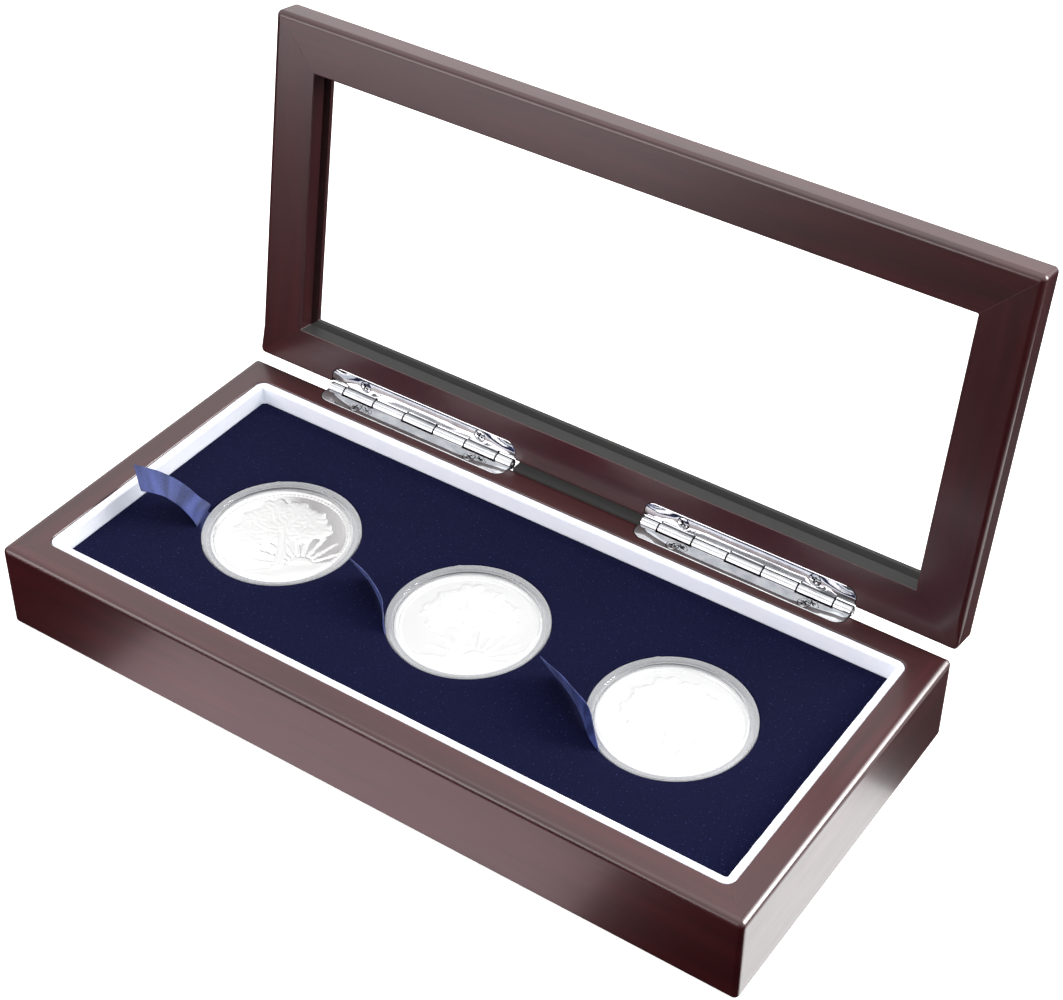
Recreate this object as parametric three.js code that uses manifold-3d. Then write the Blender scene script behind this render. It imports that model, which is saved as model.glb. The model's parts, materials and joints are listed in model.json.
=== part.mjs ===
// Coin display tray: a lacquered wooden case for three coins, with a glass-windowed lid on two hinges.
//
// Millimetres. +X runs along the case, +Y from front to back, +Z up.
// Origin: the middle of the underside, in the plane the felt stands on.
// The lid is modelled shut, in its own group, and the group is turned open about the hinge line.

import * as THREE from "three";
import { mergeVertices } from "three/addons/utils/BufferGeometryUtils.js";
import Module from "manifold-3d";

const wasm = await Module();
wasm.setup();

// ---------------------------------------------------------------- driving dimensions

const LENGTH = 238;
const DEPTH = 110;
const RIM_TOP = 27.3;
const OUTER_CORNER = 1.5; // upright corners of the case and the lid
const WELL_CORNER = 3; // corners of the lined well
const EDGE_ROUND = 1.4;
const GAP = 0.1; // left between pieces that touch
const MITRE_GAP = 0.08;

// Base: mitred rails round a bottom panel, with felt under it.
const RAIL_BOTTOM = 0.3;
const RIM_WIDTH = 8.7;
const BACK_RIM_WIDTH = 8.3;
const REBATE_WIDTH = 4.5;
const FELT_THICKNESS = 1.1;
const PANEL_THICKNESS = 3.5;
// A ledge on the back rail fills the gap under the open lid, from one hinge to the other.
const LEDGE = { x0: -23.2, x1: 20.4, depth: 4.4, height: 5, drop: 0.3, edge: 0.4 };

// Lining, insert and the recesses in it.
const LINING_THICKNESS = 2.4;
const LINING_DROP = 0.1; // below the rim
const INSERT_DROP = 5.6; // velvet below the rim
const RECESS_DEPTH = 6.1;
const RECESS_RADIUS = 23.3;
const RECESS_PITCH = 65.2;
const RECESS_MIDDLE = { x: 1.1, y: -0.7 };
const RIBBON_SLOT = { width: 11.4, reach: 24.3, bearing: 198 };

// Coins in two-part capsules.
const COIN_RADIUS = 20.3;
const COIN_THICKNESS = 2.9;
const CAPSULE_RADIUS = 22.7;
const CAPSULE_HEIGHT = 6;
const CAPSULE_WALL = 1.5; // above and below the coin
const CAPSULE_LIFT = 0.4; // room for the ribbon under it

// Pull ribbons.
const RIBBON_WIDTH = 10;
const RIBBON_THICKNESS = 0.25;

// The first ribbon's free end past its slot, as [x, y, z] and the direction across it.
const SLANTING_TAIL = [
  { p: [-89.1, -8.8, 24.5], w: [0.47, -0.93, 0.1] },
  { p: [-92.7, -10, 28], w: [0.64, -0.77, -0.08] },
  { p: [-96.7, -12.9, 32], w: [0.63, -0.78, 0] },
  { p: [-100.2, -18.8, 36.8], w: [0.7, -0.71, -0.09] },
];

// The other ribbons' routes round their capsules, as [bearing, radius, height], then away to the left,
// as [x, y, z] from the recess's middle and the direction across.
const STANDING_ARCS = {
  middle: [[243, 23, 21.1], [235, 23, 22.2], [228, 23, 23.8], [221, 23, 25.4], [214, 23.1, 26.8]],
  right: [[259, 23, 21.1], [251, 23, 22.2], [244, 23, 23.8], [237, 23, 25.4], [230, 23.05, 26.8]],
};
const STANDING_TAILS = {
  middle: [
    { p: [-23.6, -9.9, 27.1], w: [-0.15, -0.18, 0.97] },
    { p: [-29.8, -6.1, 26.7], w: [-0.2, -0.36, 0.91] },
    { p: [-34.5, -4.2, 26.6], w: [-0.2, -0.42, 0.89] },
  ],
  right: [
    { p: [-20.5, -14.2, 27.3], w: [-0.13, -0.19, 0.97] },
    { p: [-26.4, -10.6, 26.9], w: [-0.17, -0.29, 0.94] },
    { p: [-31.5, -8.3, 26.7], w: [-0.2, -0.39, 0.9] },
    { p: [-34.5, -7, 26.6], w: [-0.21, -0.4, 0.89] },
  ],
};

// Lid: mitred rails that hold a glass pane in a groove.
const LID_THICKNESS = 9;
const LID_GAP = 0.3;
const LID_OPEN_DEGREES = 99.5;
const WINDOW = { side: 14.9, front: 15.2, back: 12.9 };
const GLASS_THICKNESS = 2;
const GLASS_HEIGHT = 5; // above the lid's inner face
const GROOVE_DEPTH = 3;
const LIP = 0.9; // outer edge of the window stands in by this much

// Hinges.
const HINGE_CENTRES = { left: -57.4, right: 54.6 };
const HINGE_LENGTH = 67.2;
const HINGE_AXIS = { y: 56.4, z: 27.2 };
const LEAF_FRONT = 49.6;
const LEAF_THICKNESS = 0.9;
const LEAF_CORNER = 3.4;
const KNUCKLE_RADIUS = 1.6;
const END_KNUCKLE = 5.7;
const KNUCKLE_COUNT = 7;
const KNUCKLE_GAP = 0.15; // each side
const PIN_RADIUS = 0.75;
const PIN_CLEARANCE = 0.1;
const RELIEF_RADIUS = 1.95; // wood cut away round the barrel
const MORTISE_MARGIN = 0.15;

// Countersunk screws.
const SCREW_SPACING = 42;
const SCREW_Y = 52;
const SCREW_HEAD_RADIUS = 1.7;
const SCREW_SHANK_RADIUS = 0.8;
const SCREW_LENGTH = 6;
const SCREW_CLEARANCE = 0.12;
const CROSS_SLOT = { length: 2.2, width: 0.5, depth: 0.5 };

// ---------------------------------------------------------------- materials

function finish(color, roughness, metalness = 0) {
  return new THREE.MeshStandardMaterial({ color, roughness, metalness });
}

const FINISH = {
  lacquer: () => finish(0x4a2026, 0.35),
  board: () => finish(0x8a7a66, 0.9),
  felt: () => finish(0x15151a, 1),
  lining: () => finish(0xf2f2f8, 0.95),
  velvet: () => finish(0x1c1d4a, 1),
  ribbon: () => finish(0x2c3a80, 0.45),
  clear: () => Object.assign(finish(0xf4f6f8, 0.05), { transparent: true, opacity: 0.35 }),
  silver: () => finish(0xe8e8ea, 0.12, 1),
  chrome: () => finish(0xd8dadd, 0.1, 1),
};

// ---------------------------------------------------------------- solids

// A closed three.js geometry as a solid that can be cut and joined.
function solidOf(geometry) {
  const bare = geometry.index ? geometry.toNonIndexed() : geometry.clone();
  bare.deleteAttribute("normal");
  bare.deleteAttribute("uv");
  const merged = mergeVertices(bare, 1e-4);
  const source = merged.index.array;
  const corners = [];
  for (let i = 0; i < source.length; i += 3) {
    const [a, b, c] = source.slice(i, i + 3);
    if (a !== b && b !== c && c !== a) corners.push(a, b, c);
  }
  const vertProperties = new Float32Array(merged.attributes.position.array);
  const triVerts = new Uint32Array(corners);
  return new wasm.Manifold(new wasm.Mesh({ numProp: 3, vertProperties, triVerts }));
}

function geometryOf(solid) {
  const mesh = solid.getMesh();
  const geometry = new THREE.BufferGeometry();
  geometry.setAttribute("position", new THREE.BufferAttribute(mesh.vertProperties, 3));
  geometry.setIndex(new THREE.BufferAttribute(mesh.triVerts, 1));
  geometry.computeVertexNormals();
  return geometry;
}

function box(x0, x1, y0, y1, z0, z1) {
  const geometry = new THREE.BoxGeometry(x1 - x0, y1 - y0, z1 - z0);
  return solidOf(geometry.translate((x0 + x1) / 2, (y0 + y1) / 2, (z0 + z1) / 2));
}

function roundedOutline(x0, x1, y0, y1, radius) {
  const shape = new THREE.Shape();
  shape.moveTo(x0 + radius, y0);
  shape.lineTo(x1 - radius, y0);
  shape.absarc(x1 - radius, y0 + radius, radius, -Math.PI / 2, 0);
  shape.lineTo(x1, y1 - radius);
  shape.absarc(x1 - radius, y1 - radius, radius, 0, Math.PI / 2);
  shape.lineTo(x0 + radius, y1);
  shape.absarc(x0 + radius, y1 - radius, radius, Math.PI / 2, Math.PI);
  shape.lineTo(x0, y0 + radius);
  shape.absarc(x0 + radius, y0 + radius, radius, Math.PI, Math.PI * 1.5);
  return shape;
}

// A slab with rounded upright corners. A positive `edge` also rounds its top and bottom edges.
function slab(x0, x1, y0, y1, z0, z1, radius, edge = 0) {
  const outline = roundedOutline(x0 + edge, x1 - edge, y0 + edge, y1 - edge, radius - edge);
  const geometry = new THREE.ExtrudeGeometry(outline, {
    depth: z1 - z0 - 2 * edge,
    curveSegments: 4,
    bevelEnabled: edge > 0,
    bevelSize: edge,
    bevelThickness: edge,
    bevelSegments: 3,
  });
  return solidOf(geometry.translate(0, 0, z0 + edge));
}

function prism(points, z0, z1) {
  const shape = new THREE.Shape(points.map(([x, y]) => new THREE.Vector2(x, y)));
  const geometry = new THREE.ExtrudeGeometry(shape, { depth: z1 - z0, bevelEnabled: false });
  return solidOf(geometry.translate(0, 0, z0));
}

// A solid turned about the Z axis. The profile lists [radius, height] and starts and ends on the axis.
function turned(profile, segments) {
  const points = profile.map(([r, z]) => new THREE.Vector2(r, z));
  const geometry = new THREE.LatheGeometry(points, segments);
  return solidOf(geometry.rotateX(Math.PI / 2));
}

function disc(x, y, z0, z1, radius, segments) {
  const geometry = new THREE.CylinderGeometry(radius, radius, z1 - z0, segments);
  return solidOf(geometry.rotateX(Math.PI / 2).translate(x, y, (z0 + z1) / 2));
}

// A round bar along X on the hinge line.
function bar(x0, x1, radius, segments = 16) {
  const geometry = new THREE.CylinderGeometry(radius, radius, x1 - x0, segments);
  geometry.rotateZ(Math.PI / 2);
  return solidOf(geometry.translate((x0 + x1) / 2, HINGE_AXIS.y, HINGE_AXIS.z));
}

// ---------------------------------------------------------------- frames of four mitred rails

const SIDES = ["front", "back", "left", "right"];

// The part of the plan that one rail takes, cut at 45 degrees at the case's corners.
function railZone(side, z0, z1) {
  const x = LENGTH / 2 + 1;
  const y = DEPTH / 2 + 1;
  const inner = x - y;
  const cut = MITRE_GAP / Math.SQRT2;
  const zones = {
    front: [[-x + cut, -y], [x - cut, -y], [inner - cut, 0], [-inner + cut, 0]],
    back: [[-inner + cut, 0], [inner - cut, 0], [x - cut, y], [-x + cut, y]],
    left: [[-x, -y + cut], [-inner - cut, 0], [-x, y - cut]],
    right: [[x, -y + cut], [x, y - cut], [inner + cut, 0]],
  };
  return prism(zones[side], z0, z1);
}

function mitredRails(ring, z0, z1) {
  return Object.fromEntries(SIDES.map((side) => [side, ring.intersect(railZone(side, z0, z1))]));
}

// ---------------------------------------------------------------- levels and inner sizes

const HALF_LENGTH = LENGTH / 2;
const HALF_DEPTH = DEPTH / 2;
const PANEL_BOTTOM = FELT_THICKNESS + GAP / 2;
const PANEL_TOP = PANEL_BOTTOM + PANEL_THICKNESS;
const VELVET_TOP = RIM_TOP - INSERT_DROP;
const RECESS_FLOOR = VELVET_TOP - RECESS_DEPTH;
const CAPSULE_BOTTOM = RECESS_FLOOR + CAPSULE_LIFT;
const LID_BOTTOM = RIM_TOP + LID_GAP;

// Inner faces of the base rails.
const WELL = {
  x0: -HALF_LENGTH + RIM_WIDTH,
  x1: HALF_LENGTH - RIM_WIDTH,
  y0: -HALF_DEPTH + RIM_WIDTH,
  y1: HALF_DEPTH - BACK_RIM_WIDTH,
};

function inset(area, by) {
  return [area.x0 + by, area.x1 - by, area.y0 + by, area.y1 - by];
}

// ---------------------------------------------------------------- hinges

// Each hinge's knuckles from left to right, as [start, end, belongs to the lid].
function knuckles(centre) {
  const inner = (HINGE_LENGTH - 2 * END_KNUCKLE) / (KNUCKLE_COUNT - 2);
  const list = [];
  let x = centre - HINGE_LENGTH / 2;
  for (let i = 0; i < KNUCKLE_COUNT; i++) {
    const length = i === 0 || i === KNUCKLE_COUNT - 1 ? END_KNUCKLE : inner;
    list.push([x, x + length, i % 2 === 1]);
    x += length;
  }
  return list;
}

// A leaf's plate, or with a margin its mortise: front corners rounded, back edge at the hinge line.
function leafPlate(centre, z0, z1, margin = 0) {
  const x0 = centre - HINGE_LENGTH / 2 - margin;
  const x1 = centre + HINGE_LENGTH / 2 + margin;
  const plate = slab(x0, x1, LEAF_FRONT - margin, HINGE_AXIS.y + LEAF_CORNER, z0, z1, LEAF_CORNER);
  return plate.subtract(box(x0 - 1, x1 + 1, HINGE_AXIS.y, HINGE_AXIS.y + 5, z0 - 1, z1 + 1));
}

function screwPlaces(centre) {
  return [centre - SCREW_SPACING / 2, centre + SCREW_SPACING / 2];
}

// The screw's outline, head uppermost with its top at z = 0, grown all round by `margin`.
function screwBlank(margin = 0) {
  const head = SCREW_HEAD_RADIUS + margin;
  const shank = SCREW_SHANK_RADIUS + margin;
  return turned(
    [
      [0, -SCREW_LENGTH - margin],
      [shank * 0.5, -SCREW_LENGTH - margin],
      [shank, -SCREW_LENGTH + 1.2],
      [shank, shank - head],
      [head, -0.05],
      [head, margin],
      [0, margin],
    ],
    14,
  );
}

function screw() {
  const { length, width, depth } = CROSS_SLOT;
  const along = box(-length / 2, length / 2, -width / 2, width / 2, -depth, 1);
  const across = box(-width / 2, width / 2, -length / 2, length / 2, -depth, 1);
  return screwBlank().subtract(along).subtract(across);
}

// A screw or its hole at a place: base screws point down, lid screws point up.
function placedScrew(blank, x, onLid) {
  if (onLid) return blank.rotate([180, 0, 0]).translate([x, SCREW_Y, LID_BOTTOM]);
  return blank.translate([x, SCREW_Y, RIM_TOP]);
}

function hingeLeaf(centre, onLid) {
  const z0 = onLid ? LID_BOTTOM : RIM_TOP - LEAF_THICKNESS;
  let leaf = leafPlate(centre, z0, z0 + LEAF_THICKNESS);
  for (const [start, end, forLid] of knuckles(centre)) {
    if (forLid === onLid) {
      leaf = leaf.add(bar(start + KNUCKLE_GAP, end - KNUCKLE_GAP, KNUCKLE_RADIUS));
    } else {
      const clear = box(start - KNUCKLE_GAP, end + KNUCKLE_GAP, HINGE_AXIS.y - RELIEF_RADIUS, 60, 20, 35);
      leaf = leaf.subtract(clear);
    }
  }
  const half = HINGE_LENGTH / 2 + 1;
  leaf = leaf.subtract(bar(centre - half, centre + half, PIN_RADIUS + PIN_CLEARANCE));
  for (const x of screwPlaces(centre)) {
    leaf = leaf.subtract(placedScrew(screwBlank(SCREW_CLEARANCE), x, onLid));
  }
  return leaf;
}

// What a back rail loses to one hinge: the mortise, the relief round the barrel and the screw holes.
function hingeCuts(centre, onLid) {
  const half = HINGE_LENGTH / 2 + MORTISE_MARGIN * 2;
  const deep = LEAF_THICKNESS + GAP;
  const z0 = onLid ? LID_BOTTOM - 1 : RIM_TOP - deep;
  const z1 = onLid ? LID_BOTTOM + deep : RIM_TOP + 1;
  let cuts = leafPlate(centre, z0, z1, MORTISE_MARGIN);
  cuts = cuts.add(bar(centre - half, centre + half, RELIEF_RADIUS));
  for (const x of screwPlaces(centre)) {
    cuts = cuts.add(placedScrew(screwBlank(SCREW_CLEARANCE), x, onLid));
  }
  return cuts;
}

// ---------------------------------------------------------------- base

function baseRails() {
  const { x0, x1, y0, y1 } = WELL;
  const block = slab(
    -HALF_LENGTH, HALF_LENGTH, -HALF_DEPTH, HALF_DEPTH, -5, RIM_TOP, OUTER_CORNER, EDGE_ROUND,
  );
  const well = slab(x0, x1, y0, y1, -6, RIM_TOP + 1, WELL_CORNER);
  const under = box(-LENGTH, LENGTH, -DEPTH, DEPTH, -9, RAIL_BOTTOM);
  const rebate = box(
    x0 - REBATE_WIDTH, x1 + REBATE_WIDTH, y0 - REBATE_WIDTH, y1 + REBATE_WIDTH, -1, PANEL_TOP + GAP,
  );
  const ring = block.subtract(well).subtract(under).subtract(rebate);
  const rails = mitredRails(ring, -6, RIM_TOP + 1);
  for (const centre of Object.values(HINGE_CENTRES)) {
    rails.back = rails.back.subtract(hingeCuts(centre, false));
  }
  return rails;
}

function bottomPanel() {
  const [x0, x1, y0, y1] = inset(WELL, -REBATE_WIDTH + GAP);
  return box(x0, x1, y0, y1, PANEL_BOTTOM, PANEL_TOP);
}

function undersideFelt() {
  const [x0, x1, y0, y1] = inset(WELL, -REBATE_WIDTH + 0.6);
  return slab(x0, x1, y0, y1, 0, FELT_THICKNESS, 2);
}

function liningStrips() {
  const [x0, x1, y0, y1] = inset(WELL, GAP);
  const t = LINING_THICKNESS - GAP;
  const bottom = PANEL_TOP + GAP;
  const top = RIM_TOP - LINING_DROP;
  const ring = slab(x0, x1, y0, y1, bottom, top, WELL_CORNER).subtract(
    box(x0 + t, x1 - t, y0 + t, y1 - t, 0, RIM_TOP + 1),
  );
  return mitredRails(ring, 0, RIM_TOP + 1);
}

function recessCentre(index) {
  return { x: RECESS_MIDDLE.x + (index - 1) * RECESS_PITCH, y: RECESS_MIDDLE.y };
}

function polar(centre, radius, degrees) {
  const angle = THREE.MathUtils.degToRad(degrees);
  return [centre.x + radius * Math.cos(angle), centre.y + radius * Math.sin(angle)];
}

function insertBase() {
  const [x0, x1, y0, y1] = inset(WELL, LINING_THICKNESS + 2 * GAP);
  return box(x0, x1, y0, y1, PANEL_TOP + GAP, RECESS_FLOOR);
}

// The velvet board, with a round hole through it for each capsule and a slot for the first ribbon.
function velvetBoard() {
  const [x0, x1, y0, y1] = inset(WELL, LINING_THICKNESS + 2 * GAP);
  let board = slab(x0, x1, y0, y1, RECESS_FLOOR + GAP, VELVET_TOP, 1);
  for (let i = 0; i < 3; i++) {
    const { x, y } = recessCentre(i);
    board = board.subtract(disc(x, y, 0, RIM_TOP, RECESS_RADIUS, 48));
  }
  const { x, y } = recessCentre(0);
  const { width, reach, bearing } = RIBBON_SLOT;
  const slot = box(15, reach, -width / 2, width / 2, 0, RIM_TOP);
  return board.subtract(slot.rotate([0, 0, bearing]).translate([x, y, 0]));
}

// ---------------------------------------------------------------- coins and capsules

// Half a capsule, lying open side up: a dish for the coin with a step round its edge.
// The lower half's step stands up inside, and the upper half's stands down outside it.
function capsuleHalf(stepInside) {
  const half = CAPSULE_HEIGHT / 2;
  const seat = COIN_RADIUS + 0.1;
  const step = 0.7;
  const split = (CAPSULE_RADIUS + seat) / 2;
  const [innerTop, outerTop] = stepInside ? [half + step, half] : [half - step, half];
  const splitRadius = stepInside ? split - 0.1 : split + 0.1;
  const low = stepInside ? 0 : 0.1;
  return turned(
    [
      [0, 0],
      [CAPSULE_RADIUS - 0.4, 0],
      [CAPSULE_RADIUS, 0.4],
      [CAPSULE_RADIUS, stepInside ? outerTop - GAP : outerTop],
      [splitRadius, stepInside ? outerTop - GAP : outerTop],
      [splitRadius, innerTop - low - GAP],
      [seat, innerTop - low - GAP],
      [seat, CAPSULE_WALL],
      [0, CAPSULE_WALL],
    ],
    44,
  );
}

function coin() {
  const h = COIN_THICKNESS;
  const rim = 0.35;
  const field = COIN_RADIUS - 1.3;
  return turned(
    [[0, rim], [field, rim], [field + 0.4, 0], [COIN_RADIUS, 0], [COIN_RADIUS, h], [field + 0.4, h],
      [field, h - rim], [0, h - rim]],
    44,
  );
}

// ---------------------------------------------------------------- pull ribbons

// A flat strip along stations of {p: middle, w: direction across it}.
function ribbonStrip(stations) {
  const corners = [];
  stations.forEach(({ p, w }, i) => {
    const before = stations[Math.max(i - 1, 0)].p;
    const after = stations[Math.min(i + 1, stations.length - 1)].p;
    const along = after.clone().sub(before).normalize();
    const across = w.clone().addScaledVector(along, -w.dot(along)).normalize();
    const face = along.clone().cross(across);
    for (const [a, b] of [[-1, -1], [1, -1], [1, 1], [-1, 1]]) {
      const corner = p.clone().addScaledVector(across, (a * RIBBON_WIDTH) / 2);
      corners.push(corner.addScaledVector(face, (b * RIBBON_THICKNESS) / 2));
    }
  });
  const faces = [0, 1, 2, 0, 2, 3];
  for (let i = 0; i < stations.length - 1; i++) {
    for (let k = 0; k < 4; k++) {
      const a = 4 * i + k;
      const b = 4 * i + ((k + 1) % 4);
      faces.push(a, a + 4, b, b, a + 4, b + 4);
    }
  }
  const end = corners.length - 4;
  faces.push(end, end + 2, end + 1, end, end + 3, end + 2);
  const geometry = new THREE.BufferGeometry().setFromPoints(corners);
  geometry.setIndex(faces);
  const made = solidOf(geometry);
  return made.volume() > 0 ? made : solidOf(reversed(geometry));
}

function reversed(geometry) {
  const index = geometry.index.array;
  for (let i = 0; i < index.length; i += 3) {
    [index[i], index[i + 1]] = [index[i + 1], index[i]];
  }
  return geometry;
}

// Even steps along a smooth curve through the middle points, with the direction across turning evenly.
function stationsAlong(points, across, steps) {
  const middle = new THREE.CatmullRomCurve3(points.map((v) => new THREE.Vector3(...v)), false, "centripetal");
  const turns = across.map((v) => new THREE.Vector3(...v));
  const stations = [];
  for (let i = 0; i <= steps; i++) {
    const reach = (i / steps) * (turns.length - 1);
    const k = Math.min(Math.floor(reach), turns.length - 2);
    stations.push({ p: middle.getPoint(i / steps), w: turns[k].clone().lerp(turns[k + 1], reach - k) });
  }
  return stations;
}

// The first ribbon lies under its capsule, turns up through the slot and stands out to the left.
function slantingRibbon(centre) {
  const bearing = RIBBON_SLOT.bearing;
  const floor = RECESS_FLOOR + 0.2;
  const wall = RECESS_RADIUS + 0.25;
  const side = [...polar({ x: 0, y: 0 }, 1, bearing + 90), 0];
  const rise = [
    [8, floor],
    [16, floor],
    [21.6, floor],
    [22.8, floor + 0.2],
    [wall - 0.1, floor + 0.9],
    [wall, floor + 2.2],
    [wall + 0.05, VELVET_TOP - 1.2],
    [wall + 0.55, VELVET_TOP + 0.6],
  ];
  const points = rise.map(([radius, height]) => [...polar(centre, radius, bearing), height]);
  const across = rise.map(() => side);
  return ribbonStrip(stationsAlong(
    [...points, ...SLANTING_TAIL.map(({ p }) => p)],
    [...across, ...SLANTING_TAIL.map(({ w }) => w)],
    44,
  ));
}

// The other ribbons stand on edge: up out of the recess beside the capsule, then away to the left.
function standingRibbon(centre, place) {
  const arc = STANDING_ARCS[place];
  const tail = STANDING_TAILS[place];
  const points = [
    ...arc.map(([bearing, radius, height]) => [...polar(centre, radius, bearing), height]),
    ...tail.map(({ p: [x, y, z] }) => [centre.x + x, centre.y + y, z]),
  ];
  const across = [...arc.map(() => [0, 0, 1]), ...tail.map(({ w }) => w)];
  return ribbonStrip(stationsAlong(points, across, 28));
}

function backLedge() {
  const { x0, x1, depth, height, drop, edge } = LEDGE;
  const y0 = HALF_DEPTH + GAP;
  const top = RIM_TOP - drop;
  return slab(x0, x1, y0, y0 + depth, top - height, top, edge + 0.2, edge);
}

// ---------------------------------------------------------------- lid

function lidRails() {
  const top = LID_BOTTOM + LID_THICKNESS;
  const glass = LID_BOTTOM + GLASS_HEIGHT;
  const x = HALF_LENGTH - WINDOW.side;
  const y0 = -HALF_DEPTH + WINDOW.front;
  const y1 = HALF_DEPTH - WINDOW.back;
  const block = slab(
    -HALF_LENGTH, HALF_LENGTH, -HALF_DEPTH, HALF_DEPTH, LID_BOTTOM, top, OUTER_CORNER, EDGE_ROUND,
  );
  const opening = box(-x, x, y0, y1, LID_BOTTOM - 1, glass);
  const groove = box(
    -x - GROOVE_DEPTH, x + GROOVE_DEPTH, y0 - GROOVE_DEPTH, y1 + GROOVE_DEPTH,
    glass - GAP, glass + GLASS_THICKNESS + GAP,
  );
  const mouth = box(-x + LIP, x - LIP, y0 + LIP, y1 - LIP, glass, top + 1);
  const rails = mitredRails(block.subtract(opening).subtract(groove).subtract(mouth), 20, top + 1);
  for (const centre of Object.values(HINGE_CENTRES)) {
    rails.back = rails.back.subtract(hingeCuts(centre, true));
  }
  return rails;
}

function glassPane() {
  const reach = GROOVE_DEPTH - 0.3;
  const x = HALF_LENGTH - WINDOW.side + reach;
  const y0 = -HALF_DEPTH + WINDOW.front - reach;
  const y1 = HALF_DEPTH - WINDOW.back + reach;
  const z = LID_BOTTOM + GLASS_HEIGHT;
  return box(-x, x, y0, y1, z, z + GLASS_THICKNESS);
}

// ---------------------------------------------------------------- assembly

const tray = new THREE.Group();
const lid = new THREE.Group();

function addPiece(group, name, solid, material) {
  const mesh = new THREE.Mesh(geometryOf(solid), material);
  mesh.name = name;
  group.add(mesh);
  return mesh;
}

function addFrame(group, rails, nameOf, material) {
  for (const side of SIDES) addPiece(group, nameOf(side), rails[side], material());
}

function addHinge(side, centre) {
  const half = HINGE_LENGTH / 2;
  addPiece(tray, `hinge_${side}_base_leaf`, hingeLeaf(centre, false), FINISH.chrome());
  addPiece(lid, `hinge_${side}_lid_leaf`, hingeLeaf(centre, true), FINISH.chrome());
  addPiece(tray, `hinge_${side}_pin`, bar(centre - half, centre + half, PIN_RADIUS), FINISH.chrome());
  screwPlaces(centre).forEach((x, i) => {
    const name = `hinge_${side}_SIDE_screw_${i + 1}`;
    addPiece(tray, name.replace("SIDE", "base"), placedScrew(screw(), x, false), FINISH.chrome());
    addPiece(lid, name.replace("SIDE", "lid"), placedScrew(screw(), x, true), FINISH.chrome());
  });
}

function addCoin(place, index) {
  const centre = recessCentre(index);
  const group = new THREE.Group();
  group.position.set(centre.x, centre.y, CAPSULE_BOTTOM);
  tray.add(group);
  addPiece(group, `capsule_${place}_base`, capsuleHalf(true), FINISH.clear());
  const cover = addPiece(group, `capsule_${place}_cover`, capsuleHalf(false), FINISH.clear());
  cover.rotation.x = Math.PI;
  cover.position.z = CAPSULE_HEIGHT;
  const piece = addPiece(group, `coin_${place}`, coin(), FINISH.silver());
  piece.position.z = (CAPSULE_HEIGHT - COIN_THICKNESS) / 2;
  const ribbon = index === 0 ? slantingRibbon(centre) : standingRibbon(centre, place);
  addPiece(tray, `ribbon_${place}`, ribbon, FINISH.ribbon());
}

addFrame(tray, baseRails(), (side) => `base_${side}_rail`, FINISH.lacquer);
addPiece(tray, "base_back_ledge", backLedge(), FINISH.lacquer());
addPiece(tray, "base_bottom_panel", bottomPanel(), FINISH.board());
addPiece(tray, "underside_felt", undersideFelt(), FINISH.felt());
addFrame(tray, liningStrips(), (side) => `lining_${side}`, FINISH.lining);
addPiece(tray, "insert_base_board", insertBase(), FINISH.board());
addPiece(tray, "velvet_board", velvetBoard(), FINISH.velvet());
["left", "middle", "right"].forEach(addCoin);
addFrame(lid, lidRails(), (side) => `lid_${side}_rail`, FINISH.lacquer);
addPiece(lid, "lid_glass", glassPane(), FINISH.clear());
Object.entries(HINGE_CENTRES).forEach(([side, centre]) => addHinge(side, centre));

// Turn the shut lid open about the hinge line.
const swing = new THREE.Group();
swing.position.set(0, HINGE_AXIS.y, HINGE_AXIS.z);
swing.rotation.x = -THREE.MathUtils.degToRad(LID_OPEN_DEGREES);
lid.position.set(0, -HINGE_AXIS.y, -HINGE_AXIS.z);
swing.add(lid);
tray.add(swing);

export default tray;
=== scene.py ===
"""Coin display tray: the visual model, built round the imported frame.

Lengths in the modelling code are millimetres in the row frame, and turn into metres as each mesh is made.
Lid pieces are modelled with the lid shut, and their meshes are then turned open about the hinge line.
"""

import json
import math
import random

import bmesh
import bpy
from mathutils import Matrix, Vector, noise
from mathutils.geometry import delaunay_2d_cdt


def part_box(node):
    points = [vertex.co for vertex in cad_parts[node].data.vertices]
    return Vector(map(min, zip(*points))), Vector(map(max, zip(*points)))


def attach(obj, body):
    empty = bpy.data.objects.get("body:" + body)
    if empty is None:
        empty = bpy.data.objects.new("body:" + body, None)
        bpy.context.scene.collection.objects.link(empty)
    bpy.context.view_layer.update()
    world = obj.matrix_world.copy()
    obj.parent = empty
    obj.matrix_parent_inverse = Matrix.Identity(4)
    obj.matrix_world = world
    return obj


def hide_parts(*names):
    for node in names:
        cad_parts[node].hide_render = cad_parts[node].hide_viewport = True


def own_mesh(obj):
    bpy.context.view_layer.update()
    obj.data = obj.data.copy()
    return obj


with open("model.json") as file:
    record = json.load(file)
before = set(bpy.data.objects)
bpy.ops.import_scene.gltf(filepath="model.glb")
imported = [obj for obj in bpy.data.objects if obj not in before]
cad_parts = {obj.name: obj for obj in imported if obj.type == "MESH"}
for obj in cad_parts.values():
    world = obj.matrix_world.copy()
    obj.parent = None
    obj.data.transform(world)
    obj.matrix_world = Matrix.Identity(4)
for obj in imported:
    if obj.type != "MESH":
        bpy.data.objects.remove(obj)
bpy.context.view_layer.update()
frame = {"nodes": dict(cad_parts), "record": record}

MM = 0.001

# ---- sizes and places from the frame


def box_mm(node):
    low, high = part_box(node)
    return low / MM, high / MM


def middle(node):
    low, high = box_mm(node)
    return (low + high) / 2


lid_joint = next(j for j in frame["record"]["behaviour"]["joints"] if j["name"] == "lid_hinge")
HINGE_AXIS = Vector(lid_joint["pos_m"]) / MM
OPEN_ANGLE = math.radians(lid_joint["range_deg"][1])
TURN_OPEN = (
    Matrix.Translation(HINGE_AXIS) @ Matrix.Rotation(-OPEN_ANGLE, 4, "X") @ Matrix.Translation(-HINGE_AXIS)
)


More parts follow.
